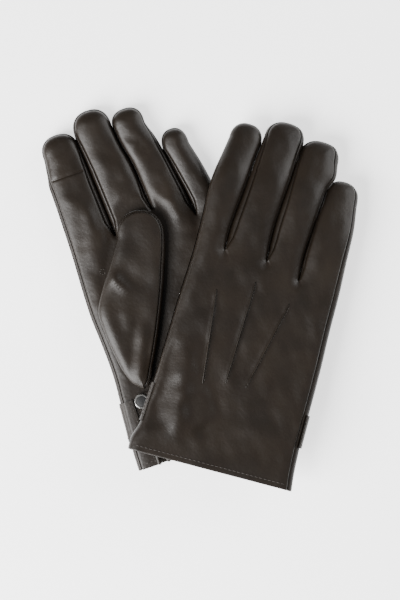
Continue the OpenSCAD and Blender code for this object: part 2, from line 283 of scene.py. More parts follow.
def folds_at(glove, side, x, y):
    """The relief of a sheet's soft folds: each a ridge or hollow of bell-shaped section along its line."""
    total = np.zeros_like(x)
    for start, end, width, size in FOLDS.get((glove, side), ()):
        off, _, t = along_line(x, y, start, end)
        total = total + size * np.exp(-((off / width) ** 2)) * smooth(1.5 - np.abs(t - 0.5) * 2)
    return total


class Sheet:
    """One side of a glove, palm or back: four finger strips that share their edges below the crotches.

    A strip is a grid of rows from the hem to the fingertip. Each row has an edge point where the panel's
    seam lies and a rim point on the outline of the finger, on both sides. Below a crotch the edge points
    are shared with the next strip. A panel's height above the middle plane rises from its seam as a
    superellipse of the distance to the nearest seam, up to the crown, with a crease beside the seam.
    """

    def __init__(self, glove, side, columns):
        sizes = bpy.context.scene.glove_sizes
        self.glove, self.side, self.columns = glove, side, columns
        self.middle, self.sign = MIDDLE_PLANE, 1 if side == "palm" else -1
        self.pattern = PATTERN[glove]
        self.seam_h = sizes.seam_height / MM
        self.strips = [self.strip(k) for k in range(4)]
        self.seams = np.concatenate([self.seam_segments(k) for k in range(4)])

    def common_rows(self):
        """Rows that all four strips share: an even run, closer ones over the crotches, and the splits."""
        even = np.arange(1.6, 174.01, 1.6)
        rounds = []
        for gap in self.pattern["gaps"]:
            rounds.append(gap["crotch"][0] + CROTCH_DEPTH * np.linspace(0, 1, 9) ** 1.7)
        splits = [b - SPLIT_BEFORE for b in BEND if b - SPLIT_BEFORE < 174]
        fixed = np.unique(np.round(np.concatenate(rounds + [np.array(splits, float)]), 4))
        near = np.abs(even[:, None] - fixed[None, :]).min(axis=1)
        return np.unique(np.concatenate([[HEM_FOLD], even[near > 0.5], fixed]))

    def edges(self, k, y, wrap):
        """Edge and rim points of finger k's two sides at the straight rows y.

        Over the crotch the two seams open as a V: their spread grows with the 0.6th power of the distance.
        """
        sides = []
        for side, gap_index in ((-1, k - 1), (1, k)):
            if 0 <= gap_index < 3:
                gap = self.pattern["gaps"][gap_index]
                crotch_y, crotch_x = gap["crotch"]
                above = np.maximum(y, crotch_y)
                rim_x = through(gap["line"], above) - side * GAP_HALF
                seam = np.interp(above, *zip(*gap["low_seam" if side > 0 else "high_seam"]))
                opened = np.clip((y - crotch_y) / CROTCH_DEPTH, 0, 1)
                x = crotch_x + (rim_x - side * seam - crotch_x) * opened**0.6
                hem_x = self.pattern["thumb_side"][0][1] * (1 - (gap_index + 1) / 2)
                below = y < crotch_y
                x = np.where(below, hem_x + (crotch_x - hem_x) * y / crotch_y, x)
                rim_y = np.where(opened < 1, crotch_y + CROTCH_WEB + (CROTCH_DEPTH - CROTCH_WEB) * opened, y)
                rim = np.stack([crotch_x + (rim_x - crotch_x) * opened**0.6, rim_y], 1)
                free, inset = ~below, np.ones_like(y)
            else:
                name = "thumb" if side < 0 else "little"
                rim_x = through(self.pattern[name + "_side"], y)
                seam = np.interp(y, *zip(*self.pattern[name + "_seam"]))
                inset = np.full_like(y, 0.0 if wrap[0 if side < 0 else 1] else 1.0)
                x = rim_x - side * seam * inset
                rim = np.stack([rim_x, y], 1)
                free = np.ones(len(y), bool)
            sides.append({
                "edge": np.stack([x, y], 1), "rim": rim, "free": free, "inset": inset, "seam": seam,
            })
        return sides

    def strip(self, k):
        """Finger k's rows from the hem to the pole at its tip."""
        wrap = (self.side == "back" and k == 0, self.side == "palm" and k == 3)
        tip_y, top, tip_seam = self.pattern["tips"][k]
        common = self.common_rows()
        own = np.arange(common[-1] + 1.6, tip_y - 0.8, 1.6)
        split = BEND[k] - SPLIT_BEFORE
        fixed = [split] if split > common[-1] else []
        if k == 0:
            fixed += [TOUCH_SEAM + d for d in (-1.2, -0.6, 0, 0.6, 1.2)]
        for row in fixed:
            own = np.append(own[np.abs(own - row) > 0.45], row)
        y = np.sort(np.concatenate([common, own, [tip_y]]))
        low, high = self.edges(k, y, wrap)
        turn = np.linspace(0, np.pi / 2, 15)[1:]
        power = 2 / 2.35
        cosine, sine = np.cos(turn) ** power, np.sin(turn) ** power
        cosine[-1] = 0.0
        left, right = low["rim"][-1, 0], high["rim"][-1, 0]
        centre, half = (left + right) / 2, (right - left) / 2
        for side, data in ((-1, low), (1, high)):
            inset0 = data["inset"][-1] * data["seam"][-1]
            inset = inset0 + (tip_seam - inset0) * smooth(turn / (np.pi / 2))
            edge = np.stack([
                centre + side * (half - inset) * cosine, tip_y + (top - tip_seam - tip_y) * sine,
            ], 1)
            rim = np.stack([centre + side * half * cosine, tip_y + (top - tip_y) * sine], 1)
            data["edge"] = np.concatenate([data["edge"], edge])
            data["rim"] = np.concatenate([data["rim"], rim])
            data["free"] = np.concatenate([data["free"], np.ones(len(turn), bool)])
            start = data["inset"][-1]
            inset = start + (1 - start) * smooth(turn / (np.pi / 2) * 1.4)
            data["inset"] = np.concatenate([data["inset"], inset])
            last_seam = data["seam"][-1]
            seam = np.concatenate([data["seam"], last_seam + (tip_seam - last_seam) * np.sin(turn)])
            deep = np.clip((seam / WIDE_SEAM) ** 0.5, 0.5, 1)
            data["edge_h"] = self.seam_h * deep * np.sqrt(1 - (1 - data["inset"]) ** 2)
        return {"low": low, "high": high, "y": np.append(y, low["edge"][len(y):, 1]), "split": split}

    def seam_segments(self, k):
        """The seam edges as stretches (x0, y0, h0, x1, y1, h1)."""
        pieces = []
        for data in (self.strips[k]["low"], self.strips[k]["high"]):
            points = np.column_stack([data["edge"], data["edge_h"]])[data["free"]]
            pieces.append(np.hstack([points[:-1], points[1:]]))
        return np.concatenate(pieces)

    def crown(self, x, y):
        """The height of the panel away from its seams: flat cuff, fuller hand, plump fingers."""
        if self.side == LOWER_SIDE[self.glove]:
            return np.full_like(x, MIDDLE_PLANE - LOWER_CLEAR[self.glove])
        return 6.0 + 0.7 * smooth((y - 50) / 50) + 0.9 * smooth((y - 130) / 50)

    def relief(self, x, y):
        """Slow waves and soft folds, and hollows that run down into the hand from the crotches."""
        seed = {"left": 11, "right": 23}[self.glove] + {"palm": 0, "back": 5}[self.side]
        total = 0.42 * waves(x, y, seed, (46, 30)) + 0.16 * waves(x, y, seed + 1, (17, 11))
        total = total + folds_at(self.glove, self.side, x, y)
        if self.side == "back":
            for start, end in POINTS:
                off, _, t = along_line(x, y, start, end)
                total = total + 0.5 * np.exp(-((off / 1.5) ** 2)) * smooth(6 - np.abs(t - 0.5) * 12)
        for gap in self.pattern["gaps"]:
            crotch_y, crotch_x = gap["crotch"]
            off, t, _ = along_line(x, y, (crotch_x, crotch_y), (crotch_x * 0.85, crotch_y - 26))
            total = total - 1.1 * np.exp(-((off / 3.4) ** 2)) * (1 - t) ** 2
        return total

    def height(self, x, y):
        """The panel's height over the middle plane: seam height, then a superellipse up to the crown."""
        distance, seam_h = to_seam(self.seams, x, y)
        reach = 10.5 - 3.0 * smooth((150 - y) / 60)
        u = np.clip(distance / reach, 0, 1)
        rise = (1 - (1 - u) ** 2.3) ** (1 / 2.3)
        h = seam_h + (self.crown(x, y) - seam_h) * rise
        h = h + crease(distance, seam_h / self.seam_h)
        if self.side == LOWER_SIDE[self.glove]:
            h = np.minimum(h, self.crown(x, y))
        inner = smooth(u * 1.2) * (1 - 0.7 * smooth((20 - y) / 16))
        if self.side != LOWER_SIDE[self.glove]:
            flat = 0.0
            if self.side == "palm":
                off, _, _ = along_line(x, y, *STRAP_LINE)
                flat = smooth((16 - off) / 6)
            h = h + self.relief(x, y) * inner * (1 - flat)
            if self.side == "palm":
                near = [along_line(x, y, *THUMB_LINE[i:i + 2])[0] for i in (0, 1)]
                pressed = smooth((28 - np.minimum(*near)) / 8)
                h = h - pressed * np.maximum(h - 6.25, 0)
        if self.side == "palm":
            gather = smooth((x + 6) / 6) * smooth((50 - x) / 6) * np.exp(-(((y - 55) / 8) ** 2))
            h = h - 0.45 * gather * inner * (1 + np.cos(2 * np.pi * x / 5.5))
            groove = np.exp(-(((y - TOUCH_SEAM) / 0.55) ** 2)) * smooth((x + 56) / 2) * smooth((-20 - x) / 2)
            h = h - 0.8 * groove * smooth(u * 4)
        return h

    def rows_between(self, k, first, last):
        """A mask of strip k's rows from y = first to y = last."""
        y = self.strips[k]["y"]
        return (y > first - 1e-6) & (y < last + 1e-6)

    def grid(self, k, first=-1, last=999):
        """Strip k's points (x, y, z), with columns closer together towards its two edges."""
        strip = self.strips[k]
        keep = self.rows_between(k, first, last)
        low, high = strip["low"]["edge"][keep], strip["high"]["edge"][keep]
        share = (1 - np.cos(np.linspace(0, np.pi, self.columns))) / 2
        x = low[:, None, 0] + (high[:, None, 0] - low[:, None, 0]) * share
        y = np.repeat(strip["y"][keep][:, None], self.columns, axis=1)
        return np.stack([x, y, self.middle + self.sign * self.height(x, y)], axis=2)

    def point_on(self, x, y, lift=0.0):
        """Points (x, y, z) on the panel, raised by lift, in the glove's plan."""
        x, y = np.broadcast_arrays(np.asarray(x, float), np.asarray(y, float))
        return np.stack([x, y, self.middle + self.sign * (self.height(x, y) + lift)], axis=-1)

    def facing(self, x, y):
        """The panel's outward directions in the glove's plan, from the slopes of its height."""
        step = 0.6
        x, y = np.broadcast_arrays(np.asarray(x, float), np.asarray(y, float))
        slope_x = (self.height(x + step, y) - self.height(x - step, y)) / (2 * step)
        slope_y = (self.height(x, y + step) - self.height(x, y - step)) / (2 * step)
        out = np.stack([-slope_x, -slope_y, np.full_like(slope_x, 1.0)], axis=-1)
        out[..., 2] *= self.sign
        return out / np.linalg.norm(out, axis=-1, keepdims=True)


# ---- Lay of each glove ----


class Lay:
    """Takes a glove's plan to its place. Its directions and origin are read off the frame's joints."""

    def __init__(self, glove):
        joints = {j["name"]: j for j in frame["joints"]}
        flip = 1 if glove == "left" else -1
        strap = joints[glove + "_strap_open"]
        along = Vector(strap["axis"]) * flip
        if glove == "left":
            out = Vector((0, 0, 1))
        else:
            out = -Vector(joints["right_thumb_swing"]["axis"])
        across = along.cross(out) * flip
        self.turn = np.array([across, along, out], float).T
        hinge = np.array(STRAP_HINGE) * MM
        self.origin = np.array(strap["pos_m"], float) - self.turn @ hinge
        self.droop = np.radians(DROOP[glove])

    def bent(self, local, k):
        """Bends the points past finger k's joint through the droop, over a stretch centred on it."""
        if k is None or self.droop == 0:
            return local
        half = DROOP_REACH
        start = BEND[k] - half
        s = local[..., 1] - start
        t = np.clip(s / (2 * half), 0, 1)
        angle = self.droop * t
        inside = np.clip(s, 0, 2 * half)
        beyond = np.maximum(s - 2 * half, 0)
        rate = self.droop / (2 * half)
        y = start + np.where(s < 0, s, np.sin(rate * inside) / rate + beyond * np.cos(self.droop))
        rise = (1 - np.cos(rate * inside)) / rate + beyond * np.sin(self.droop)
        z = MIDDLE_PLANE + np.where(s < 0, 0, rise)
        off = local[..., 2] - MIDDLE_PLANE
        return np.stack([local[..., 0], y - off * np.sin(angle), z + off * np.cos(angle)], axis=-1)

    def place(self, local, k=None):
        """Plan points in millimetres to world points in metres."""
        return self.bent(local, k) * MM @ self.turn.T + self.origin


# ---- Making meshes ----

WELD = 2e-6


def grid_normals(points, outward):
    """Unit normals of a grid of world points, from its two directions, turned to point outward."""
    across = np.gradient(points, axis=1)
    along = np.gradient(points, axis=0)
    normal = np.cross(across, along)
    length = np.linalg.norm(normal, axis=2, keepdims=True)
    weak = length[..., 0] < 1e-14
    normal = normal / np.maximum(length, 1e-14)
    if weak.any():
        rows = np.where(weak.any(axis=1))[0]
        for row in rows:
            good = normal[max(row - 1, 0)][~weak[max(row - 1, 0)]]
            mean = good.mean(axis=0) if len(good) else outward
            normal[row][weak[row]] = mean / np.linalg.norm(mean) if len(good) else outward
    facing = (normal * outward).sum()
    return normal if facing > 0 else -normal


def shell(name, grids, thickness, material, inset=0.0, hem=None):
    """A closed shell of leather or cloth from grids of (points, normals) or (points, normals, kept faces).

    Points that coincide are welded, and their normals averaged. The outer layer lies inset under the
    grids, the inner layer lies thickness below that, and a strip of faces joins the two along every
    open edge. Where hem is given, the first row of every grid is first turned inwards round the fold.
    """
    points = np.concatenate([g[0].reshape(-1, 3) for g in grids])
    normals = np.concatenate([g[1].reshape(-1, 3) for g in grids])
    quads, hem_points, offset = [], [], 0
    for grid, normal, *kept in grids:
        rows, columns = grid.shape[:2]
        index = offset + np.arange(rows * columns).reshape(rows, columns)
        quad = np.stack([index[:-1, :-1], index[:-1, 1:], index[1:, 1:], index[1:, :-1]], axis=-1)
        quad = quad.reshape(-1, 4)
        flat = grid.reshape(-1, 3)
        up = np.cross(flat[quad[:, 2] - offset] - flat[quad[:, 0] - offset],
                      flat[quad[:, 3] - offset] - flat[quad[:, 1] - offset])
        facing = (up * normal.reshape(-1, 3)[quad[:, 0] - offset]).sum()
        quad = quad if facing > 0 else quad[:, ::-1]
        quads.append(quad[kept[0].ravel()] if kept else quad)
        hem_points.append(index[0])
        offset += rows * columns
    quads = np.concatenate(quads)
    key = np.round(points / WELD).astype(np.int64)
    _, first, same = np.unique(key, axis=0, return_index=True, return_inverse=True)
    same = same.ravel()
    merged = np.zeros((len(first), 3))
    np.add.at(merged, same, normals)
    merged /= np.maximum(np.linalg.norm(merged, axis=1, keepdims=True), 1e-12)
    outer, quads = points[first], same[quads]
    if hem is not None:
        on_hem = np.zeros(len(first), bool)
        on_hem[same[np.concatenate(hem_points)]] = True
        outer, merged, quads = fold_hem(outer, merged, quads, on_hem, hem)
    full, triangles = whole_and_part(quads)
    used = np.unique(np.concatenate([full.ravel(), triangles.ravel()]))
    place = np.zeros(len(outer), int)
    place[used] = np.arange(len(used))
    outer, merged, full, triangles = outer[used], merged[used], place[full], place[triangles]
    outer = outer - merged * inset * MM
    count = len(outer)
    rim = open_edges(full, triangles)
    inner = outer - merged * thickness * MM
    sides = np.stack([rim[:, 1], rim[:, 0], rim[:, 0] + count, rim[:, 1] + count], 1)
    return make_object(name, np.concatenate([outer, inner]),
                       np.concatenate([full, full[:, ::-1] + count, sides]),
                       np.concatenate([triangles, triangles[:, ::-1] + count]), material,
                       np.concatenate([merged, -merged]))


def whole_and_part(quads):
    """Splits quads into whole ones and those with two corners welded, which become triangles."""
    closed = quads == np.roll(quads, -1, axis=1)
    full = quads[~closed.any(axis=1)]
    single = closed.sum(axis=1) == 1
    return full, quads[single][~closed[single]].reshape(-1, 3)


def open_edges(quads, triangles):
    """The edges that only one face has, each in the direction of its face."""
    edges = np.concatenate(
        [np.stack([quads[:, i], quads[:, (i + 1) % 4]], 1) for i in range(4)]
        + [np.stack([triangles[:, i], triangles[:, (i + 1) % 3]], 1) for i in range(3)]
    )
    low_high = np.sort(edges, axis=1)
    code = low_high[:, 0] * (edges.max() + 1) + low_high[:, 1]
    _, back, times = np.unique(code, return_inverse=True, return_counts=True)
    return edges[times[back.ravel()] == 1]


def fold_hem(points, normals, quads, on_hem, along):
    """Turns the leather in round the hem: rings of half a circle of HEM_FOLD about the edge's inner side."""
    rim = open_edges(quads, np.zeros((0, 3), int))
    rim = rim[on_hem[rim].all(axis=1)]
    ids = np.unique(rim)
    turn = np.linspace(np.pi / 2, -np.pi / 2, 8)[1:, None, None]
    out, at, radius = normals[ids], points[ids], HEM_FOLD * MM
    rings = at - out * radius * (1 - np.sin(turn)) - along * radius * np.cos(turn)
    ring_normals = out * np.sin(turn) - along * np.cos(turn)
    place = np.zeros(len(points), int)
    place[ids] = np.arange(len(ids))
    levels = [rim] + [len(points) + i * len(ids) + place[rim] for i in range(len(rings))]
    folds = [np.stack([a[:, 1], a[:, 0], b[:, 0], b[:, 1]], 1) for a, b in zip(levels, levels[1:])]
    return (np.concatenate([points, rings.reshape(-1, 3)]),
            np.concatenate([normals, ring_normals.reshape(-1, 3)]), np.concatenate([quads] + folds))


def make_object(name, vertices, quads, triangles, material, normals=None):
    """An object at the origin from arrays of vertices, quads and triangles, shaded smooth."""
    mesh = bpy.data.meshes.new(name)
    mesh.vertices.add(len(vertices))
    mesh.vertices.foreach_set("co", vertices.astype(np.float32).ravel())
    corners = np.concatenate([quads.ravel(), triangles.ravel()]).astype(np.int32)
    starts = np.concatenate([np.arange(len(quads)) * 4, len(quads) * 4 + np.arange(len(triangles)) * 3])
    mesh.loops.add(len(corners))
    mesh.loops.foreach_set("vertex_index", corners)
    mesh.polygons.add(len(starts))
    mesh.polygons.foreach_set("loop_start", starts.astype(np.int32))
    mesh.update(calc_edges=True)
    mesh.validate()
    mesh.shade_smooth()
    if normals is not None and len(normals) == len(mesh.vertices):
        mesh.normals_split_custom_set_from_vertices(normals.astype(np.float32))
    mesh.materials.append(material)
    piece = bpy.data.objects.new(name, mesh)
    bpy.context.scene.collection.objects.link(piece)
    return piece


def finish_piece(piece, body, nodes=(), bend=None):
    """Parents a piece to its body, or where a bend is given only bakes its place, and hides the solids it
    stands for.
    """
    if bend:
        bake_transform(piece)
    else:
        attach(piece, body)
    if nodes:
        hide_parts(*nodes)
    return piece


def tube(path, radius, sides=8, flatten=1.0, up=(0, 0, 1)):
    """A closed tube along a path, with pointed ends: its ring at each point is an ellipse across the path."""
    path = np.asarray(path, float)
    count = len(path)
    radius = np.broadcast_to(np.asarray(radius, float), (count,)).copy()
    tangent = np.gradient(path, axis=0)
    tangent /= np.linalg.norm(tangent, axis=1, keepdims=True)
    side = np.cross(tangent, np.asarray(up, float))
    side /= np.linalg.norm(side, axis=1, keepdims=True)
    over = np.cross(side, tangent)
    angle = np.linspace(0, 2 * np.pi, sides, endpoint=False)
    cosine, sine = np.cos(angle)[None, :, None], np.sin(angle)[None, :, None]
    ring = side[:, None] * cosine + flatten * over[:, None] * sine
    points = (path[:, None] + radius[:, None, None] * ring).reshape(-1, 3)
    start_point = path[:1] - tangent[:1] * radius[0] * 0.6
    end_point = path[-1:] + tangent[-1:] * radius[-1] * 0.6
    points = np.concatenate([points, start_point, end_point])
    index = np.arange(count * sides).reshape(count, sides)
    turned = np.roll(index, -1, axis=1)
    quads = np.stack([index[:-1], turned[:-1], turned[1:], index[1:]], axis=-1).reshape(-1, 4)
    first, last = count * sides, count * sides + 1
    triangles = np.concatenate([
        np.stack([turned[0], index[0], np.full(sides, first)], 1),
        np.stack([index[-1], turned[-1], np.full(sides, last)], 1),
    ])
    return points, quads, triangles


def join_parts(parts):
    """Many (points, quads, triangles) as one."""
    points, quads, triangles, offset = [], [], [], 0
    for p, q, t in parts:
        points.append(p)
        quads.append(q + offset)
        triangles.append(t + offset)
        offset += len(p)
    return np.concatenate(points), np.concatenate(quads), np.concatenate(triangles)


# ---- Materials ----


def new_material(name):
    """An empty node material with its Principled shader."""
    material = bpy.data.materials.get(name) or bpy.data.materials.new(name)
    material.use_nodes = True
    nodes, links = material.node_tree.nodes, material.node_tree.links
    nodes.clear()
    output = nodes.new("ShaderNodeOutputMaterial")
    shader = nodes.new("ShaderNodeBsdfPrincipled")
    links.new(shader.outputs["BSDF"], output.inputs["Surface"])
    return material, nodes, links, shader


def colour_ramp(nodes, links, source, stops):
    """A ramp from a 0 to 1 value through (place, colour) stops."""
    ramp = nodes.new("ShaderNodeValToRGB")
    while len(ramp.color_ramp.elements) < len(stops):
        ramp.color_ramp.elements.new(0.5)
    for element, (place, colour) in zip(ramp.color_ramp.elements, stops):
        element.position = place
        element.color = (*colour, 1)
    links.new(source, ramp.inputs["Fac"])
    return ramp.outputs["Color"]


def value_range(nodes, links, source, low, high):
    """A 0 to 1 value spread between low and high."""
    spread = nodes.new("ShaderNodeMapRange")
    spread.inputs["To Min"].default_value = low
    spread.inputs["To Max"].default_value = high
    links.new(source, spread.inputs["Value"])
    return spread.outputs["Result"]


def noise(nodes, links, place, scale, detail=3.0, roughness=0.5):
    """Cloudy noise on a place."""
    node = nodes.new("ShaderNodeTexNoise")
    node.inputs["Scale"].default_value = scale
    node.inputs["Detail"].default_value = detail
    node.inputs["Roughness"].default_value = roughness
    links.new(place, node.inputs["Vector"])
    return node.outputs["Fac"]


def bump(nodes, links, shader, heights):
    """Stacks (height, strength, distance) layers of bump on a shader."""
    normal = None
    for height, strength, distance in heights:
        node = nodes.new("ShaderNodeBump")
        node.inputs["Strength"].default_value = strength
        node.inputs["Distance"].default_value = distance
        links.new(height, node.inputs["Height"])
        if normal is not None:
            links.new(normal, node.inputs["Normal"])
        normal = node.outputs["Normal"]
    links.new(normal, shader.inputs["Normal"])


def leather_material(name, dark, light, gloss):
    """Nappa leather: fine cells of grain, pores, and slow changes of colour and polish."""
    material, nodes, links, shader = new_material(name)
    place = nodes.new("ShaderNodeTexCoord").outputs["Object"]
    patches = noise(nodes, links, place, 38, 4.0)
    links.new(colour_ramp(nodes, links, patches, ((0.3, dark), (0.72, light))), shader.inputs["Base Color"])
    polish = noise(nodes, links, place, 60, 3.0)
    links.new(value_range(nodes, links, polish, gloss - 0.07, gloss + 0.09), shader.inputs["Roughness"])
    cells = nodes.new("ShaderNodeTexVoronoi")
    cells.feature = "DISTANCE_TO_EDGE"
    cells.inputs["Scale"].default_value = 1500
    links.new(place, cells.inputs["Vector"])
    crease = value_range(nodes, links, cells.outputs["Distance"], 0.0, 1.0)
    fine = noise(nodes, links, place, 2600, 4.0, 0.6)
    soft = noise(nodes, links, place, 420, 3.0)
    bump(nodes, links, shader, ((soft, 0.22, 0.0006), (crease, 0.16, 0.00012), (fine, 0.10, 0.0001)))
    shader.inputs["Specular IOR Level"].default_value = 0.25
    return material


def lining_material():
    """A brushed knit: fine ribs across the glove, with fuzz."""
    material, nodes, links, shader = new_material("Brushed knit lining")
    place = nodes.new("ShaderNodeTexCoord").outputs["Object"]
    ribs = nodes.new("ShaderNodeTexWave")
    ribs.inputs["Scale"].default_value = 260
    ribs.inputs["Distortion"].default_value = 1.5
    links.new(place, ribs.inputs["Vector"])
    fuzz = noise(nodes, links, place, 1400, 5.0, 0.7)
    links.new(colour_ramp(nodes, links, fuzz, ((0.3, (0.012, 0.011, 0.010)), (0.8, (0.05, 0.046, 0.042)))),
              shader.inputs["Base Color"])
    bump(nodes, links, shader, ((ribs.outputs["Fac"], 0.5, 0.0004), (fuzz, 0.6, 0.0005)))
    shader.inputs["Roughness"].default_value = 0.95
    shader.inputs["Sheen Weight"].default_value = 0.4
    return material


def thread_material(name, dark, light):
    """Twisted thread: fine slanting strands."""
    material, nodes, links, shader = new_material(name)
    place = nodes.new("ShaderNodeTexCoord").outputs["Object"]
    strands = nodes.new("ShaderNodeTexWave")
    strands.bands_direction = "DIAGONAL"
    strands.inputs["Scale"].default_value = 900
    links.new(place, strands.inputs["Vector"])
    links.new(colour_ramp(nodes, links, strands.outputs["Fac"], ((0.2, dark), (0.9, light))),
              shader.inputs["Base Color"])
    bump(nodes, links, shader, ((strands.outputs["Fac"], 0.4, 0.0001),))
    shader.inputs["Roughness"].default_value = 0.6
    return material


def metal_material():
    """Nickel plate with faint scratches and a little dulling."""
    material, nodes, links, shader = new_material("Nickel plate")
    place = nodes.new("ShaderNodeTexCoord").outputs["Object"]
    cloud = noise(nodes, links, place, 300, 4.0)
    links.new(colour_ramp(nodes, links, cloud, ((0.2, (0.30, 0.295, 0.285)), (0.8, (0.48, 0.475, 0.46)))),
              shader.inputs["Base Color"])
    links.new(value_range(nodes, links, cloud, 0.16, 0.34), shader.inputs["Roughness"])
    bump(nodes, links, shader, ((noise(nodes, links, place, 2500, 2.0), 0.05, 0.0001),))
    shader.inputs["Metallic"].default_value = 1.0
    return material


def near_black_cap_material():
    """A near-black fill for the middle of the stud's cap, with cloudy roughness."""
    material, nodes, links, shader = new_material("Near-black cap fill")
    place = nodes.new("ShaderNodeTexCoord").outputs["Object"]
    cloud = noise(nodes, links, place, 500, 3.0)
    links.new(colour_ramp(nodes, links, cloud, ((0.2, (0.002, 0.002, 0.002)), (0.8, (0.006, 0.006, 0.006)))),
              shader.inputs["Base Color"])
    links.new(value_range(nodes, links, cloud, 0.35, 0.5), shader.inputs["Roughness"])
    return material


def floor_material(colour):
    """A smooth pale board, very faint tooth, glowing with painted light that brightens it and weakens its
    shadows.
    """
    material, nodes, links, shader = new_material("Pale board")
    place = nodes.new("ShaderNodeTexCoord").outputs["Object"]
    tooth = noise(nodes, links, place, 700, 2.0)
    near = tuple(c * 0.995 for c in colour)
    board = colour_ramp(nodes, links, tooth, ((0.3, near), (0.7, tuple(colour))))
    links.new(board, shader.inputs["Base Color"])
    shader.inputs["Roughness"].default_value = 0.9
    shader.inputs["Specular IOR Level"].default_value = 0.1
    # Painted light: the board glows with its own emission, which brightens it and washes out the shadows on it
    shader.inputs["Emission Color"].default_value = (1, 1, 1, 1)
    shader.inputs["Emission Strength"].default_value = bpy.context.scene.glove_stage.glow
    return material


MATERIALS = {}


def material_for(kind):
    """Each material, made once."""
    if kind not in MATERIALS:
        colours = bpy.context.scene.glove_colours
        dark, light = tuple(colours.leather_dark), tuple(colours.leather_light)
        makers = {
            "leather": lambda: leather_material("Dark brown nappa", dark, light, colours.leather_gloss),
            "touch": lambda: leather_material("Touch nappa", dark, light, colours.leather_gloss - 0.02),
            "lining": lining_material,
            "thread": lambda: thread_material("Brown thread", (0.010, 0.008, 0.006), (0.035, 0.028, 0.022)),
            "elastic": lambda: thread_material("Black elastic", (0.004, 0.004, 0.004), (0.02, 0.02, 0.02)),
            "metal": metal_material,
            "cap_black_fill": near_black_cap_material,
            "floor": lambda: floor_material(tuple(colours.floor)),
        }
        MATERIALS[kind] = makers[kind]()
    return MATERIALS[kind]


# ---- The gloves' sheets, made once ----

SHEETS, LAYS = {}, {}


class ThumbSheet(Sheet):
    """One side of a thumb, its top or its under panel, as a single strip from its base to its round tip.

    The top panel rolls over the thumb's low side with no seam there, and both panels meet a side strip
    along the high side and round the tip.
    """

    def __init__(self, glove, side, columns):
        self.glove, self.side, self.columns = glove, side, columns
        self.sign = 1 if side == "top" else -1
        self.thick = THUMB_THICK[glove]
        self.middle = THUMB_BASE + self.thick / 2
        self.seam_h = self.thick * 0.27
        self.strips = [self.strip()]
        self.seams = self.seam_segments(0)

    def strip(self):
        """The thumb's rows: L and R run up its two sides, and a round cap of superellipses closes its tip."""
        t = np.linspace(0, 1, 61) ** 1.15 * THUMB["low"][-1][0]
        turn = np.linspace(0, np.pi / 2, 15)[1:]
        low, high = (np.stack([through([(p[0], p[axis]) for p in THUMB[name]], t) for axis in (1, 2)], 1)
                     for name in ("low", "high"))
        middle, half = (low[-1] + high[-1]) / 2, (high[-1] - low[-1]) / 2
        size = np.linalg.norm(half)
        ahead = np.array([-half[1], half[0]]) / size
        power = 2 / 2.2
        cosine, sine = np.cos(turn) ** power, np.sin(turn) ** power
        cosine[-1] = 0.0
        width = np.linalg.norm(high - low, axis=1)
        across = (high - low) / np.maximum(width, 1e-9)[:, None]
        sides = {}
        for name, sign, line in (("low", -1, low), ("high", 1, high)):
            wraps = name == "low" and self.side == "top"
            seam = np.minimum(THUMB_SEAM * (1 - 0.4 * smooth((t - 0.7) / 0.2)), width * 0.3)
            seam_end = seam[-1] + (THUMB_TIP_SEAM - seam[-1]) * smooth(turn / (np.pi / 2))
            share = np.zeros_like(t) if wraps else np.ones_like(t)
            share_end = smooth(turn / (np.pi / 2) * 1.3) if wraps else np.ones_like(turn)
            edge = line - sign * across * (seam * share)[:, None]
            rim_end = middle + sign * half * cosine[:, None] + ahead * (THUMB_TIP * sine)[:, None]
            in_end = (seam_end * share_end)[:, None]
            edge_end = (middle + sign * half * cosine[:, None] * (1 - in_end / size)
                        + ahead * (sine[:, None] * (THUMB_TIP - seam_end[:, None])))
            share = np.concatenate([share, share_end])
            rise = np.sqrt(1 - (1 - share) ** 2) * smooth(np.append(t, np.ones(len(turn))) / 0.07)
            sides[name] = {
                "edge": np.concatenate([edge, edge_end]), "rim": np.concatenate([line, rim_end]),
                "inset": share, "free": np.ones(len(share), bool), "edge_h": rise * self.seam_h,
            }
        return {**sides, "y": np.arange(len(share), dtype=float)}

    def grid(self, k=0, first=-1, last=999):
        """The strip's points, with columns closer together towards its two edges."""
        strip = self.strips[k]
        share = (1 - np.cos(np.linspace(0, np.pi, self.columns)))[:, None] / 2
        plan = strip["low"]["edge"][:, None] * (1 - share) + strip["high"]["edge"][:, None] * share
        return self.point_on(plan[..., 0], plan[..., 1])

    def height(self, x, y):
        """The thumb's height over its middle: seam height, then a superellipse up to half its thickness."""
        distance, seam_h = to_seam(self.seams, x, y)
        u = np.clip(distance / 7.5, 0, 1)
        rise = (1 - (1 - u) ** 2.2) ** (1 / 2.2)
        relief = 0.0
        if self.side == "top":
            relief = 0.25 * waves(x, y, 7, (30, 16)) + folds_at(self.glove, "thumb", x, y)
        h = seam_h + (self.thick / 2 - seam_h) * rise + relief * smooth(u * 1.2)
        h = h + crease(distance, seam_h / self.seam_h)
        return h if self.side == "top" else np.minimum(h, self.thick / 2)


def sheet_of(glove, side):
    """A glove's palm or back, or its thumb's top or under side, made once."""
    if (glove, side) not in SHEETS:
        kind = Sheet if side in ("palm", "back") else ThumbSheet
        SHEETS[glove, side] = kind(glove, side, 29)
    return SHEETS[glove, side]


def lay_of(glove):
    """A glove's lay, made once."""
    if glove not in LAYS:
        LAYS[glove] = Lay(glove)
    return LAYS[glove]


def panel(glove, side, k, first=-1, last=999, hole=None):
    """Strip k of a sheet between two rows, as world points and normals, and the faces kept round a hole."""
    sheet, lay = sheet_of(glove, side), lay_of(glove)
    local = sheet.grid(k)
    world = lay.place(local, k if side in ("palm", "back") else None)
    normal = grid_normals(world, lay.turn[:, 2] * sheet.sign)
    if side in ("palm", "back"):
        keep = sheet.rows_between(k, first, last)
        local, world, normal = local[keep], world[keep], normal[keep]
    if hole is None:
        return world, normal
    middle = (local[:-1, :-1] + local[1:, :-1] + local[:-1, 1:] + local[1:, 1:]) / 4
    return world, normal, ~hole(middle[..., 0], middle[..., 1])


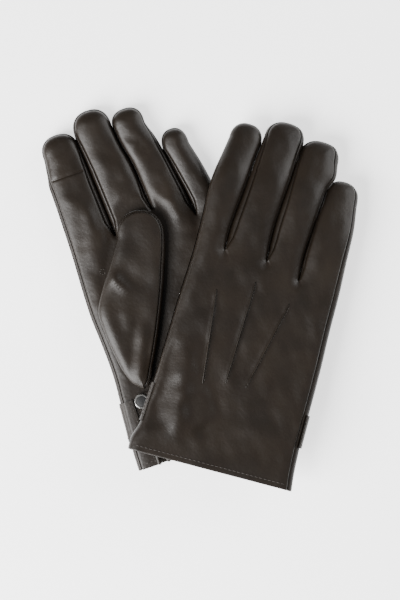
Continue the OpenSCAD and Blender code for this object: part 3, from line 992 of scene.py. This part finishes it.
def in_vent(x, y):
    """True inside the vent: a slot from the hem with a round end."""
    x0, half, top = VENT
    return (np.abs(x - x0) < half) & (y < top) | (np.hypot(x - x0, y - top) < half)


def wall(lower, upper, k, side, first=-1, last=999):
    """One side wall of strip k, in the glove's plan.

    Row by row it runs from the lower sheet's seam to the upper sheet's: at angle a it lies at
    rim - (rim - edge)(1 - cos a) / inset, at the height seam height times sin(a) / sin(end angle).
    """
    rows = []
    for sheet in (lower, upper):
        data = sheet.strips[k]["low" if side < 0 else "high"]
        keep = sheet.rows_between(k, first, last) & data["free"]
        rows.append({key: data[key][keep] for key in ("edge", "rim", "inset", "edge_h")})
    low, up = rows
    start = -np.arccos(np.clip(1 - low["inset"], -1, 1))[:, None]
    end = np.arccos(np.clip(1 - up["inset"], -1, 1))[:, None]
    angle = start + (end - start) * (1 - np.cos(np.linspace(0, np.pi, 17))) / 2
    under = angle < 0

    def chosen(name):
        return np.where(under, low[name][:, None], up[name][:, None])

    inset = chosen("inset")
    edge = np.where(under[..., None], low["edge"][:, None], up["edge"][:, None])
    rim = up["rim"][:, None]
    plan = rim - (rim - edge) * ((1 - np.cos(angle)) / np.maximum(inset, 1e-6))[..., None]
    full = np.maximum(np.sqrt(np.maximum(1 - (1 - inset) ** 2, 0)), 1e-6)
    z = upper.middle + chosen("edge_h") * np.sin(angle) / full
    stand = crease(np.linalg.norm(plan - edge, axis=2), chosen("edge_h") / upper.seam_h)
    z = z + np.where(under, -1, 1) * stand
    return np.concatenate([plan, z[..., None]], axis=-1)


def wall_world(glove, local, k=None):
    """World points and normals of a wall, whose normals point the way that it bulges."""
    world = lay_of(glove).place(local, k)
    across, along = np.gradient(world, axis=1), np.gradient(world, axis=0)
    normal = np.cross(across, along)
    normal /= np.maximum(np.linalg.norm(normal, axis=2, keepdims=True), 1e-12)
    middle = world.shape[1] // 2
    bulge = world[:, middle] - (world[:, 0] + world[:, -1]) / 2
    return world, normal if (normal[:, middle] * bulge).sum() > 0 else -normal


def side_walls(glove, k, sides, first=-1, last=999):
    """The side walls of strip k, or of the thumb where k is None."""
    names = ("back", "palm") if k is not None else ("under", "top")
    lower, upper = (sheet_of(glove, name) for name in names)
    local = [wall(lower, upper, k or 0, side, first, last) for side in sides]
    return [wall_world(glove, one, k) for one in local]


def crotch_wall(glove, gap):
    """The fourchette's web: down one finger's side from its split, round the crotch and up the next one's."""
    lower, upper = sheet_of(glove, "back"), sheet_of(glove, "palm")
    down = wall(lower, upper, gap, 1, -1, split_of(gap))[::-1]
    up = wall(lower, upper, gap + 1, -1, -1, split_of(gap + 1))
    return wall_world(glove, np.concatenate([down, up[1:]]))


def split_of(k):
    """The row where finger k's own pieces start."""
    return BEND[k] - SPLIT_BEFORE


def finger_bend(glove, k):
    """Finger k's bend data: hand, finger and the ends of the stretch that turns. Only its presence is read."""
    strip = sheet_of(glove, "palm").strips[k]
    at = np.abs(strip["y"] - BEND[k]).argmin()
    x = (strip["low"]["edge"][at, 0] + strip["high"]["edge"][at, 0]) / 2
    ends = [lay_of(glove).place(np.array([x, BEND[k] + d, MIDDLE_PLANE]), k)
            for d in (0.5 - SPLIT_BEFORE, BLEND_AFTER)]
    return glove + "_hand", glove + "_" + FINGERS[k], tuple(ends[0]), tuple(ends[1])


def thumb_bend(glove):
    """The thumb's bend data: points at the left one's base and along the right one's root. Only its presence
    is read.
    """
    ends = {"left": ((-43.5, 84, THUMB_BASE), (-29.5, 86.5, THUMB_BASE)),
            "right": ((-38, 56, THUMB_BASE), (-34, 96, THUMB_BASE))}[glove]
    start, end = (tuple(lay_of(glove).place(np.array(p, float))) for p in ends)
    return glove + "_hand", glove + "_thumb", start, end


def stitch_row(path, normals, pitch=3.0, length=2.3, radius=0.24):
    """Stitches along a path of world points: each one is a thread that rises from its hole and dips again.

    Its height over the leather is radius times 1.3 sin(pi u) - 0.5, for u from 0 to 1 along it.
    """
    path, normals = np.asarray(path, float), np.asarray(normals, float)
    run = np.concatenate([[0], np.cumsum(np.linalg.norm(np.diff(path, axis=0), axis=1))]) / MM
    count = max(int((run[-1] - length) // pitch) + 1, 1)
    spare = (run[-1] - (count - 1) * pitch - length) / 2
    u = np.linspace(0, 1, 5)
    s = spare + np.arange(count)[:, None] * pitch + u * length
    centre = np.stack([np.interp(s, run, path[:, i]) for i in range(3)], -1)
    out = np.stack([np.interp(s, run, normals[:, i]) for i in range(3)], -1)
    centre = centre + out * (radius * MM * (1.3 * np.sin(np.pi * u) - 0.5))[None, :, None]
    ahead = centre[:, -1:] - centre[:, :1]
    side = np.cross(ahead, out)
    side /= np.maximum(np.linalg.norm(side, axis=2, keepdims=True), 1e-12)
    angle = np.linspace(0, 2 * np.pi, 5, endpoint=False)
    thick = (radius * MM * np.array([0.5, 1, 1, 1, 0.5]))[None, :, None, None]
    ring = side[:, :, None] * np.cos(angle)[:, None] + out[:, :, None] * np.sin(angle)[:, None]
    points = (centre[:, :, None] + thick * ring).reshape(-1, 3)
    index = np.arange(count * 25).reshape(count, 5, 5)
    turned = np.roll(index, -1, axis=2)
    quads = np.stack([index[:, :-1], index[:, 1:], turned[:, 1:], turned[:, :-1]], -1).reshape(-1, 4)
    fans = [np.stack([index[:, 0, 0], index[:, 0, i], index[:, 0, i + 1]], 1) for i in (1, 2, 3)]
    fans += [np.stack([index[:, 4, 0], index[:, 4, i + 1], index[:, 4, i]], 1) for i in (1, 2, 3)]
    return points, quads, np.concatenate(fans)


def sewn(glove, side, x, y, lift=0.0, **how):
    """A row of stitches on a panel through the plan points x, y."""
    sheet, lay = sheet_of(glove, side), lay_of(glove)
    path = lay.place(sheet.point_on(x, y, lift))
    return stitch_row(path, sheet.facing(x, y) @ lay.turn.T, **how)


def stitched_piece(name, rows, body, nodes=(), bend=None):
    """All of a seam's stitches as one piece."""
    piece = make_object(name, *join_parts(rows), material_for("thread"))
    return finish_piece(piece, body, nodes, bend)


def even_run(start, end, count):
    """Plan points along a straight run, as x and y."""
    return np.linspace(start[0], end[0], count), np.linspace(start[1], end[1], count)


# ---- Straps ----


def band_surface(local, lay, rise):
    """World points and normals of a band that lies on the leather, eased over the seams, and raised."""
    for _ in range(3):
        local = local.copy()
        local[:, 1:-1] = (local[:, :-2] + 2 * local[:, 1:-1] + local[:, 2:]) / 4
    world = lay.place(local)
    across, along = np.gradient(world, axis=1), np.gradient(world, axis=0)
    normal = np.cross(across, along)
    normal /= np.linalg.norm(normal, axis=2, keepdims=True)
    normal = normal if (normal[:, 0] * lay.turn[:, 2]).sum() > 0 else -normal
    return world + normal * rise * MM, normal


def edge_path(glove, side, inner_x, y):
    """A band's points from inner_x over the palm, round the edge of the hand and down towards the back.

    On the palm a share f of sin(v) runs out to the seam or rim. Then the angle a runs down round the wall.
    """
    palm, back = sheet_of(glove, "palm"), sheet_of(glove, "back")
    k = 0 if side < 0 else 3
    name = 0 if side < 0 else 1
    flat_y = y.ravel()
    over = palm.edges(k, flat_y, (False, True))[name]
    under = back.edges(k, flat_y, (True, False))[name]
    shape = y.shape
    edge_x, rim_x = over["edge"][:, 0].reshape(shape), over["rim"][:, 0].reshape(shape)
    under_x = under["edge"][:, 0].reshape(shape)
    f = np.sin(np.linspace(0, np.pi / 2, 26))
    x = inner_x + (edge_x - inner_x) * f
    top = palm.point_on(x, np.broadcast_to(y, x.shape))
    first = 90 if side < 0 else 0
    a = np.radians(np.linspace(first, -62, 14))[1:]
    reach = np.where(a > 0, rim_x - edge_x, rim_x - np.where(side < 0, rim_x + 3.0, under_x))
    wall_x = rim_x - reach * (1 - np.cos(a))
    wall_z = np.broadcast_to(MIDDLE_PLANE + palm.seam_h * np.sin(a), wall_x.shape)
    sides = np.stack([wall_x, np.broadcast_to(y, wall_x.shape), wall_z], axis=-1)
    return np.concatenate([top, sides], axis=1)


# ---- Pieces ----


def hand_panels(glove, side, **how):
    """All of one side's strips below the fingers' own pieces, with the side wall that its leather wraps."""
    k, edge = (0, -1) if side == "back" else (3, 1)
    hole = in_vent if side == "palm" else None
    grids = [panel(glove, side, i, last=split_of(i), hole=hole) for i in range(4)]
    return grids + side_walls(glove, k, (edge,), last=split_of(k))


def make_hand(glove):
    """The back and the palm, each one panel of leather that wraps one edge of the hand."""
    thickness = bpy.context.scene.glove_sizes.leather / MM
    along = lay_of(glove).turn[:, 1]
    for side in ("back", "palm"):
        node = f"{glove}_{side}_leather"
        piece = shell(node + "_panel", hand_panels(glove, side), thickness, material_for("leather"), hem=along)
        finish_piece(piece, glove + "_hand", (node,))


def make_fourchettes(glove):
    """The three folded webs between the fingers."""
    thickness = bpy.context.scene.glove_sizes.leather / MM
    for gap, (a, b) in enumerate(zip(FINGERS, FINGERS[1:])):
        node = f"{glove}_fourchette_{a}_{b}"
        piece = shell(node + "_web", [crotch_wall(glove, gap)], thickness, material_for("leather"))
        finish_piece(piece, glove + "_hand", (node,))


def make_finger(glove, k):
    """A finger past its split: its palm side, its back side and the strip round its edge."""
    thickness = bpy.context.scene.glove_sizes.leather / MM
    name, split = f"{glove}_{FINGERS[k]}_finger", split_of(k)
    body, bend = f"{glove}_{FINGERS[k]}", finger_bend(glove, k)
    low, high = side_walls(glove, k, (-1, 1), first=split)
    palm_end = TOUCH_SEAM if k == 0 else 999
    palm = [panel(glove, "palm", k, split, palm_end)]
    back = [panel(glove, "back", k, split)]
    if k == 0:
        back.append(low)
        strip = [high]
    elif k == 3:
        palm.append(high)
        strip = [low]
    else:
        strip = [low, high]
    for part, grids in (("palm", palm), ("back", back), ("strip", strip)):
        piece = shell(f"{name}_{part}", grids, thickness, material_for("leather"))
        finish_piece(piece, body, (name,), bend)
    if k == 0:
        node = glove + "_index_touch_tip"
        piece = shell(node + "_panel", [panel(glove, "palm", 0, TOUCH_SEAM)], thickness, material_for("touch"))
        finish_piece(piece, body, (node,), bend)


def make_thumb(glove):
    """The thumb's top panel, its under panel and the strip between them."""
    thickness = bpy.context.scene.glove_sizes.leather / MM
    low, high = side_walls(glove, None, (-1, 1))
    body, bend = glove + "_thumb", thumb_bend(glove)
    for part, grids in (("back", [panel(glove, "top", 0), low]), ("front", [panel(glove, "under", 0)])):
        node = f"{glove}_thumb_{part}"
        piece = shell(node + "_panel", grids, thickness, material_for("leather"))
        finish_piece(piece, body, (node,), bend)
    strip = shell(glove + "_thumb_strip", [high], thickness, material_for("leather"))
    finish_piece(strip, body, (glove + "_thumb_front", glove + "_thumb_back"), bend)
    grids = [panel(glove, "top", 0), panel(glove, "under", 0), low, high]
    lining = shell(glove + "_thumb_lining_knit", grids, 0.6, material_for("lining"), inset=thickness + 0.2)
    finish_piece(lining, body, (glove + "_thumb_lining",), bend)


def make_linings(glove):
    """The knitted lining: one bag in the hand, and a sleeve in each finger."""
    inset = bpy.context.scene.glove_sizes.lining_depth / MM
    grids = []
    for side in ("palm", "back"):
        hole = in_vent if side == "palm" else None
        grids += [panel(glove, side, k, LINING_START, split_of(k), hole) for k in range(4)]
    grids += side_walls(glove, 0, (-1,), LINING_START, split_of(0))
    grids += side_walls(glove, 3, (1,), LINING_START, split_of(3))
    grids += [crotch_wall(glove, gap) for gap in range(3)]
    piece = shell(glove + "_hand_lining_knit", grids, 0.6, material_for("lining"), inset=inset)
    finish_piece(piece, glove + "_hand", (glove + "_hand_lining",))
    for k, finger in enumerate(FINGERS):
        grids = [panel(glove, side, k, split_of(k)) for side in ("palm", "back")]
        grids += side_walls(glove, k, (-1, 1), first=split_of(k))
        piece = shell(f"{glove}_{finger}_lining_knit", grids, 0.6, material_for("lining"), inset=inset)
        node = f"{glove}_{finger}_lining"
        finish_piece(piece, f"{glove}_{finger}", (node,), finger_bend(glove, k))


def make_hem(glove):
    """The leather facing inside the hem, and the stitches that hold the turned edge."""
    grids = []
    for side in ("palm", "back"):
        hole = in_vent if side == "palm" else None
        grids += [panel(glove, side, k, last=FACING_END, hole=hole) for k in range(4)]
    grids += side_walls(glove, 0, (-1,), last=FACING_END)
    grids += side_walls(glove, 3, (1,), last=FACING_END)
    piece = shell(glove + "_hem_facing_band", grids, 0.6, material_for("leather"), inset=2 * HEM_FOLD - 0.1)
    finish_piece(piece, glove + "_hand", (glove + "_hem_facing",))
    x0, half, _ = VENT
    runs = (("back", -54, 52), ("palm", -52, x0 - half - 2.5), ("palm", x0 + half + 2.5, 53))
    rows = []
    for side, start, end in runs:
        x, y = even_run((start, HEM_STITCHES), (end, HEM_STITCHES), 60)
        rows.append(sewn(glove, side, x, y, pitch=3.1, length=2.4))
    stitched_piece(glove + "_hem_stitches", rows, glove + "_hand", (glove + "_hem_stitching",))


def make_points(glove):
    """The three points: a pinched roll of leather that tapers at both ends, with fine stitches along it."""
    sizes = bpy.context.scene.glove_sizes
    rolls, rows = [], []
    back, lay = sheet_of(glove, "back"), lay_of(glove)
    for start, end in POINTS:
        x, y = even_run(start, end, 60)
        taper = np.sin(np.pi * np.linspace(0.012, 0.988, 60)) ** 0.3
        radius = sizes.point_width / 2 * taper
        path = lay.place(back.point_on(x, y, 0.05))
        rolls.append(tube(path, radius, 10, sizes.point_height / (sizes.point_width / 2), -lay.turn[:, 2]))
        side = sizes.point_width / MM * 0.62
        x, y = even_run((start[0] + side, start[1] + 1.5), (end[0] + side, end[1] - 1.5), 60)
        rows.append(sewn(glove, "back", x, y, lift=-0.05, pitch=2.1, length=1.6, radius=0.16))
    piece = make_object(glove + "_point_rolls", *join_parts(rolls), material_for("leather"))
    finish_piece(piece, glove + "_hand")
    stitched_piece(glove + "_point_stitches", rows, glove + "_hand", (glove + "_point_stitching",))


def make_tack():
    """A small ring of stitches on the left palm, beside the thumb."""
    turn = np.linspace(0, 2 * np.pi, 40)
    rows = [sewn("left", "palm", TACK[0] + TACK[2] * np.cos(turn), TACK[1] + TACK[2] * np.sin(turn),
                 pitch=1.7, length=1.3, radius=0.22)]
    stitched_piece("left_palm_tack", rows, "left_hand")


def make_vent(glove):
    """The binding round the vent: a narrow folded strip that follows the slot, with a row of stitches."""
    x0, half, top = VENT
    palm, lay = sheet_of(glove, "palm"), lay_of(glove)

    def outline(grow):
        turn = np.linspace(np.pi, 0, 25)
        reach = half + grow
        x = np.concatenate([np.full(20, x0 - reach), x0 + reach * np.cos(turn), np.full(20, x0 + reach)])
        y = np.concatenate([
            np.linspace(0.4, top - 1, 20), top + reach * np.sin(turn), np.linspace(top - 1, 0.4, 20),
        ])
        return x, y

    x, y = outline(0.35)
    past_fold = [0, 1, 0] * np.maximum(HEM_FOLD - y, 0)[:, None]
    path = lay.place(palm.point_on(x, np.maximum(y, HEM_FOLD), -0.25) - past_fold)
    binding = tube(path, 1.5 * MM, 12, 0.62, lay.turn[:, 2])
    roll = make_object(glove + "_vent_binding_roll", *binding, material_for("leather"))
    finish_piece(roll, glove + "_hand", (glove + "_vent_binding",))
    x, y = outline(2.6)
    keep = y > 2
    rows = [sewn(glove, "palm", x[keep], y[keep], pitch=2.6, length=1.9, radius=0.2)]
    stitched_piece(glove + "_vent_stitches", rows, glove + "_hand")


def border_stitches(points, normals, inset_rows, inset_columns, **how):
    """Stitches round a band's grid, a few rows and columns in from its edges."""
    r, c = inset_rows, inset_columns
    turns = ((r, slice(c, -c)), (slice(r, -r), -c - 1), (-r - 1, slice(-c - 1, c - 1 if c > 0 else None, -1)),
             (slice(-r - 1, r - 1 if r > 0 else None, -1), c))
    return [stitch_row(points[turn], normals[turn], **how) for turn in turns]


def make_straps(glove):
    """The stitched tab, the sewn length of the strap that rounds the edge, and its free end."""
    lay = lay_of(glove)
    v = np.linspace(0, 1, 22)[:, None]
    bands = (("strap_tab", -1, -46.0, 21 + 27 * v, 1.25), ("strap_anchor", 1, -12.8, None, 1.35))
    for name, side, inner, y, rise in bands:
        if y is None:
            f = np.concatenate([np.sin(np.linspace(0, np.pi / 2, 26)), np.ones(13)])
            low, high = 39.8 + (30 - 39.8) * f, 50.2 + (53 - 50.2) * f
            middle = edge_path(glove, side, inner, 41.5 + 0 * v)
            y = low + (high - low) * v
            local = middle.copy()
            local[..., 1] = y
            palm = sheet_of(glove, "palm")
            on_top = slice(0, 26)
            local[:, on_top] = palm.point_on(middle[:, on_top, 0], y[:, on_top])
        else:
            local = edge_path(glove, side, inner, y)
        world, normal = band_surface(local, lay, rise)
        node = f"{glove}_{name}"
        piece = shell(node + "_band", [(world, normal)], 1.1, material_for("leather"))
        finish_piece(piece, glove + "_hand", (node,))
        rows = border_stitches(world, normal, 2, 3, pitch=2.6, length=1.9, radius=0.2)
        stitched_piece(node + "_stitches", rows,
                       glove + "_hand")
    make_strap_end(glove)


def make_strap_end(glove):
    """The strap's free end: round about the stud and straight to the fold, crowned and topstitched."""
    lay = lay_of(glove)
    stud_x, y0 = STRAP_LINE[0][0] + 4, STRAP_HINGE[1]
    s = np.linspace(0, 1, 40)
    x = stud_x - STRAP_HALF + (STRAP_HINGE[0] + 0.5 - stud_x + STRAP_HALF) * s**1.5
    half = np.sqrt(np.maximum(STRAP_HALF**2 - np.minimum(x - stud_x, 0) ** 2, 0))
    v = np.linspace(-1, 1, 17)
    y = y0 + half[:, None] * v
    z = STRAP_TOP - 0.35 * v[None] ** 4 - 0.6 * smooth((x[:, None] - STRAP_HINGE[0] + 4) / 4)
    world = lay.place(np.stack([np.repeat(x[:, None], 17, 1), y, z * np.ones_like(y)], -1))
    normal = grid_normals(world, lay.turn[:, 2])
    piece = shell(glove + "_strap_end_leather", [(world, normal)], STRAP_THICK - 0.05, material_for("leather"))
    finish_piece(piece, glove + "_strap_end", (glove + "_strap",))
    rows = [stitch_row(world[6:, c], normal[6:, c], pitch=2.4, length=1.8, radius=0.18) for c in (2, 14)]
    stitched_piece(glove + "_strap_end_stitches", rows, glove + "_strap_end")


def make_studs(glove):
    """The press stud's metal parts keep their solids, and a domed near-black disc fills the cap."""
    lay = lay_of(glove)
    for name in ("snap_stud", "snap_post", "snap_socket", "snap_cap"):
        node = frame["nodes"][f"{glove}_{name}"]
        paint(node, material_for("metal"))
    elastic = frame["nodes"][glove + "_wrist_elastic"]
    paint(elastic, material_for("elastic"))
    radius, base = 3.55, 14.7 + 0.62
    r = np.linspace(0, 1, 8)[:, None]
    angle = np.linspace(0, 2 * np.pi, 33)
    x, y = -40 + radius * r * np.cos(angle), 45 + radius * r * np.sin(angle)
    z = base + 0.3 * np.sqrt(1 - 0.92 * r**2) * np.ones_like(x)
    local = np.stack([x, y, z], -1)
    local[:, -1] = local[:, 0]
    world = lay.place(local)
    normal = grid_normals(world, lay.turn[:, 2])
    normal[:, -1] = normal[:, 0]
    disc = shell(glove + "_cap_black_fill", [(world, normal)], 0.25, material_for("cap_black_fill"))
    finish_piece(disc, glove + "_strap_end")


def paint(node, material):
    """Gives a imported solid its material, in every slot that it has."""
    if not node.material_slots:
        node.data.materials.append(material)
    for slot in node.material_slots:
        slot.material = material


# ---- Stage ----


def look_along(item, place, target, roll_up=(0, 1, 0)):
    """Puts a light or camera at a place, looking at a target, with its up side towards roll_up."""
    ahead = (Vector(target) - Vector(place)).normalized()
    side = ahead.cross(Vector(roll_up)).normalized()
    up = side.cross(ahead)
    item.matrix_world = Matrix.Translation(Vector(place)) @ Matrix((side, up, -ahead)).transposed().to_4x4()


def soft_light(name, place, target, size, power):
    """A square soft box."""
    light = bpy.data.lights.new(name, "AREA")
    light.size, light.energy = size, power
    item = bpy.data.objects.new(name, light)
    bpy.context.scene.collection.objects.link(item)
    look_along(item, place, target, (0.1, 1, 0.2))


def make_stage():
    """A pale board under the gloves, soft boxes round them, and the camera straight above."""
    stage = bpy.context.scene.glove_stage
    half = 3.0
    corners = np.array([[-half, -half, 0], [half, -half, 0], [half, half, 0], [-half, half, 0]])
    floor = make_object("pale_board", corners, np.array([[0, 1, 2, 3]]), np.zeros((0, 3), int),
                        material_for("floor"))
    world = bpy.data.worlds.new("Studio")
    bpy.context.scene.world = world
    world.use_nodes = True
    sky = world.node_tree.nodes["Background"]
    sky.inputs["Color"].default_value = (1, 1, 1, 1)
    sky.inputs["Strength"].default_value = stage.sky
    soft_light("window", (-1.05, -0.8, 0.95), (0, 0, 0), 1.3, stage.key)
    soft_light("fill", (1.3, 0.7, 0.7), (0, 0, 0), 1.2, stage.fill)
    camera = bpy.data.cameras.new("camera")
    camera.sensor_fit = "VERTICAL"
    camera.sensor_height = 36
    camera.sensor_width = 36
    camera.lens = stage.lens
    camera.clip_end = 20
    item = bpy.data.objects.new("camera", camera)
    bpy.context.scene.collection.objects.link(item)
    centre = Vector(stage.centre)
    look_along(item, centre + Vector((0, 0, stage.height)), centre)
    bpy.context.scene.camera = item


# ---- Properties, operators and panel ----


class GloveSizes(bpy.types.PropertyGroup):
    """The gloves' sewing sizes."""

    leather: FloatProperty(name="Leather", description="Thickness of the leather", default=0.0008,
                           min=0.0004, max=0.0011, subtype="DISTANCE", unit="LENGTH")
    lining_depth: FloatProperty(name="Lining depth",
                                description="How far the lining lies inside the leather's face",
                                default=0.0023, min=0.001, max=0.003, subtype="DISTANCE", unit="LENGTH")
    seam_height: FloatProperty(name="Seam height",
                               description="Height of the seams over the middle of a finger",
                               default=0.0038, min=0.002, max=0.005, subtype="DISTANCE", unit="LENGTH")
    point_width: FloatProperty(name="Point width", description="Width of the three points' rolls",
                               default=0.0014, min=0.0006, max=0.003, subtype="DISTANCE", unit="LENGTH")
    point_height: FloatProperty(name="Point height", description="How far the points stand up",
                                default=0.0012, min=0.0003, max=0.0015, subtype="DISTANCE", unit="LENGTH")


class GloveColours(bpy.types.PropertyGroup):
    """The gloves' colours and polish."""

    leather_dark: FloatVectorProperty(name="Leather, dark",
                                      description="The leather's darker patches", size=3,
                                      subtype="COLOR", min=0, max=1, default=(0.0056, 0.0036, 0.0021))
    leather_light: FloatVectorProperty(name="Leather, light",
                                       description="The leather's lighter patches", size=3,
                                       subtype="COLOR", min=0, max=1, default=(0.0105, 0.0070, 0.0043))
    leather_gloss: FloatProperty(name="Leather roughness", description="How dull the leather's finish is",
                                 default=0.42, min=0.1, max=0.9, subtype="FACTOR")
    floor: FloatVectorProperty(name="Board", description="The colour of the board", size=3, subtype="COLOR",
                               min=0, max=1, default=(0.9, 0.9, 0.9))


class GloveStage(bpy.types.PropertyGroup):
    """Light and camera."""

    sky: FloatProperty(name="Sky", description="Strength of the even light", default=0.30, min=0, max=5)
    key: FloatProperty(name="Window",
                       description="Power of the main soft box", default=136.0, min=0, unit="POWER")
    fill: FloatProperty(name="Fill",
                        description="Power of the second soft box", default=30.0, min=0, unit="POWER")
    glow: FloatProperty(name="Board glow",
                        description="Light from the board itself", default=1.35, min=0, max=5)
    lens: FloatProperty(name="Lens",
                        description="The camera's focal length in millimetres", default=191.0, min=20)
    height: FloatProperty(name="Height",
                          description="The camera's height", default=2.2, min=0.5, unit="LENGTH")
    centre: FloatVectorProperty(name="Centre", description="The point that the camera is over", size=3,
                                default=(-0.0004, -0.0012, 0.0), subtype="TRANSLATION", unit="LENGTH")


class GLOVES_OT_hands(bpy.types.Operator):
    """Makes the back and palm leather of both gloves"""

    bl_idname = "gloves.hands"
    bl_label = "Hands"

    def execute(self, context):
        for glove in SIDES:
            make_hand(glove)
        return {"FINISHED"}


class GLOVES_OT_fourchettes(bpy.types.Operator):
    """Makes the webs between the fingers"""

    bl_idname = "gloves.fourchettes"
    bl_label = "Fourchettes"

    def execute(self, context):
        for glove in SIDES:
            make_fourchettes(glove)
        return {"FINISHED"}


class GLOVES_OT_fingers(bpy.types.Operator):
    """Makes the fingers and the touchscreen tips"""

    bl_idname = "gloves.fingers"
    bl_label = "Fingers"

    def execute(self, context):
        for glove in SIDES:
            for k in range(len(FINGERS)):
                make_finger(glove, k)
        return {"FINISHED"}


class GLOVES_OT_thumbs(bpy.types.Operator):
    """Makes the folded thumbs and their linings"""

    bl_idname = "gloves.thumbs"
    bl_label = "Thumbs"

    def execute(self, context):
        for glove in SIDES:
            make_thumb(glove)
        make_tack()
        return {"FINISHED"}


class GLOVES_OT_linings(bpy.types.Operator):
    """Makes the knitted linings of the hands and fingers"""

    bl_idname = "gloves.linings"
    bl_label = "Linings"

    def execute(self, context):
        for glove in SIDES:
            make_linings(glove)
        return {"FINISHED"}


class GLOVES_OT_hems(bpy.types.Operator):
    """Makes the hems' facings and stitches"""

    bl_idname = "gloves.hems"
    bl_label = "Hems"

    def execute(self, context):
        for glove in SIDES:
            make_hem(glove)
        return {"FINISHED"}


class GLOVES_OT_points(bpy.types.Operator):
    """Makes the three raised points on each back"""

    bl_idname = "gloves.points"
    bl_label = "Points"

    def execute(self, context):
        for glove in SIDES:
            make_points(glove)
        return {"FINISHED"}


class GLOVES_OT_vents(bpy.types.Operator):
    """Makes the bindings of the wrist vents"""

    bl_idname = "gloves.vents"
    bl_label = "Vents"

    def execute(self, context):
        for glove in SIDES:
            make_vent(glove)
        return {"FINISHED"}


class GLOVES_OT_straps(bpy.types.Operator):
    """Makes the wrist straps and their tabs"""

    bl_idname = "gloves.straps"
    bl_label = "Straps"

    def execute(self, context):
        for glove in SIDES:
            make_straps(glove)
        return {"FINISHED"}


class GLOVES_OT_studs(bpy.types.Operator):
    """Finishes the press studs and the wrist elastic"""

    bl_idname = "gloves.studs"
    bl_label = "Studs and elastic"

    def execute(self, context):
        for glove in SIDES:
            make_studs(glove)
        return {"FINISHED"}


class GLOVES_OT_stage(bpy.types.Operator):
    """Makes the board, the lights and the camera"""

    bl_idname = "gloves.stage"
    bl_label = "Stage"

    def execute(self, context):
        make_stage()
        return {"FINISHED"}


OPERATORS = (GLOVES_OT_stage, GLOVES_OT_hands, GLOVES_OT_fourchettes, GLOVES_OT_fingers, GLOVES_OT_thumbs,
             GLOVES_OT_linings, GLOVES_OT_hems, GLOVES_OT_points, GLOVES_OT_vents, GLOVES_OT_straps,
             GLOVES_OT_studs)


class GLOVES_PT_panel(bpy.types.Panel):
    """Lists the gloves' sizes, colours and pieces"""

    bl_idname = "GLOVES_PT_panel"
    bl_label = "Touchscreen Gloves"
    bl_space_type = "VIEW_3D"
    bl_region_type = "UI"
    bl_category = "Gloves"

    def draw(self, context):
        for group in (context.scene.glove_sizes, context.scene.glove_colours, context.scene.glove_stage):
            box = self.layout.box()
            for name in group.__annotations__:
                box.prop(group, name)
        for operator in OPERATORS:
            self.layout.operator(operator.bl_idname)


GROUPS = {"glove_sizes": GloveSizes, "glove_colours": GloveColours, "glove_stage": GloveStage}


def register():
    """Registers the groups, operators and panel."""
    for kind in (*GROUPS.values(), *OPERATORS, GLOVES_PT_panel):
        bpy.utils.register_class(kind)
    for name, kind in GROUPS.items():
        setattr(bpy.types.Scene, name, PointerProperty(type=kind))


def unregister():
    """Takes them away again."""
    for name in GROUPS:
        delattr(bpy.types.Scene, name)
    for kind in (GLOVES_PT_panel, *reversed(OPERATORS), *reversed(GROUPS.values())):
        bpy.utils.unregister_class(kind)


def main():
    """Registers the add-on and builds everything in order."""
    register()
    for operator in OPERATORS:
        getattr(bpy.ops.gloves, operator.bl_idname.split(".")[1])()


if __name__ == "__main__":
    main()
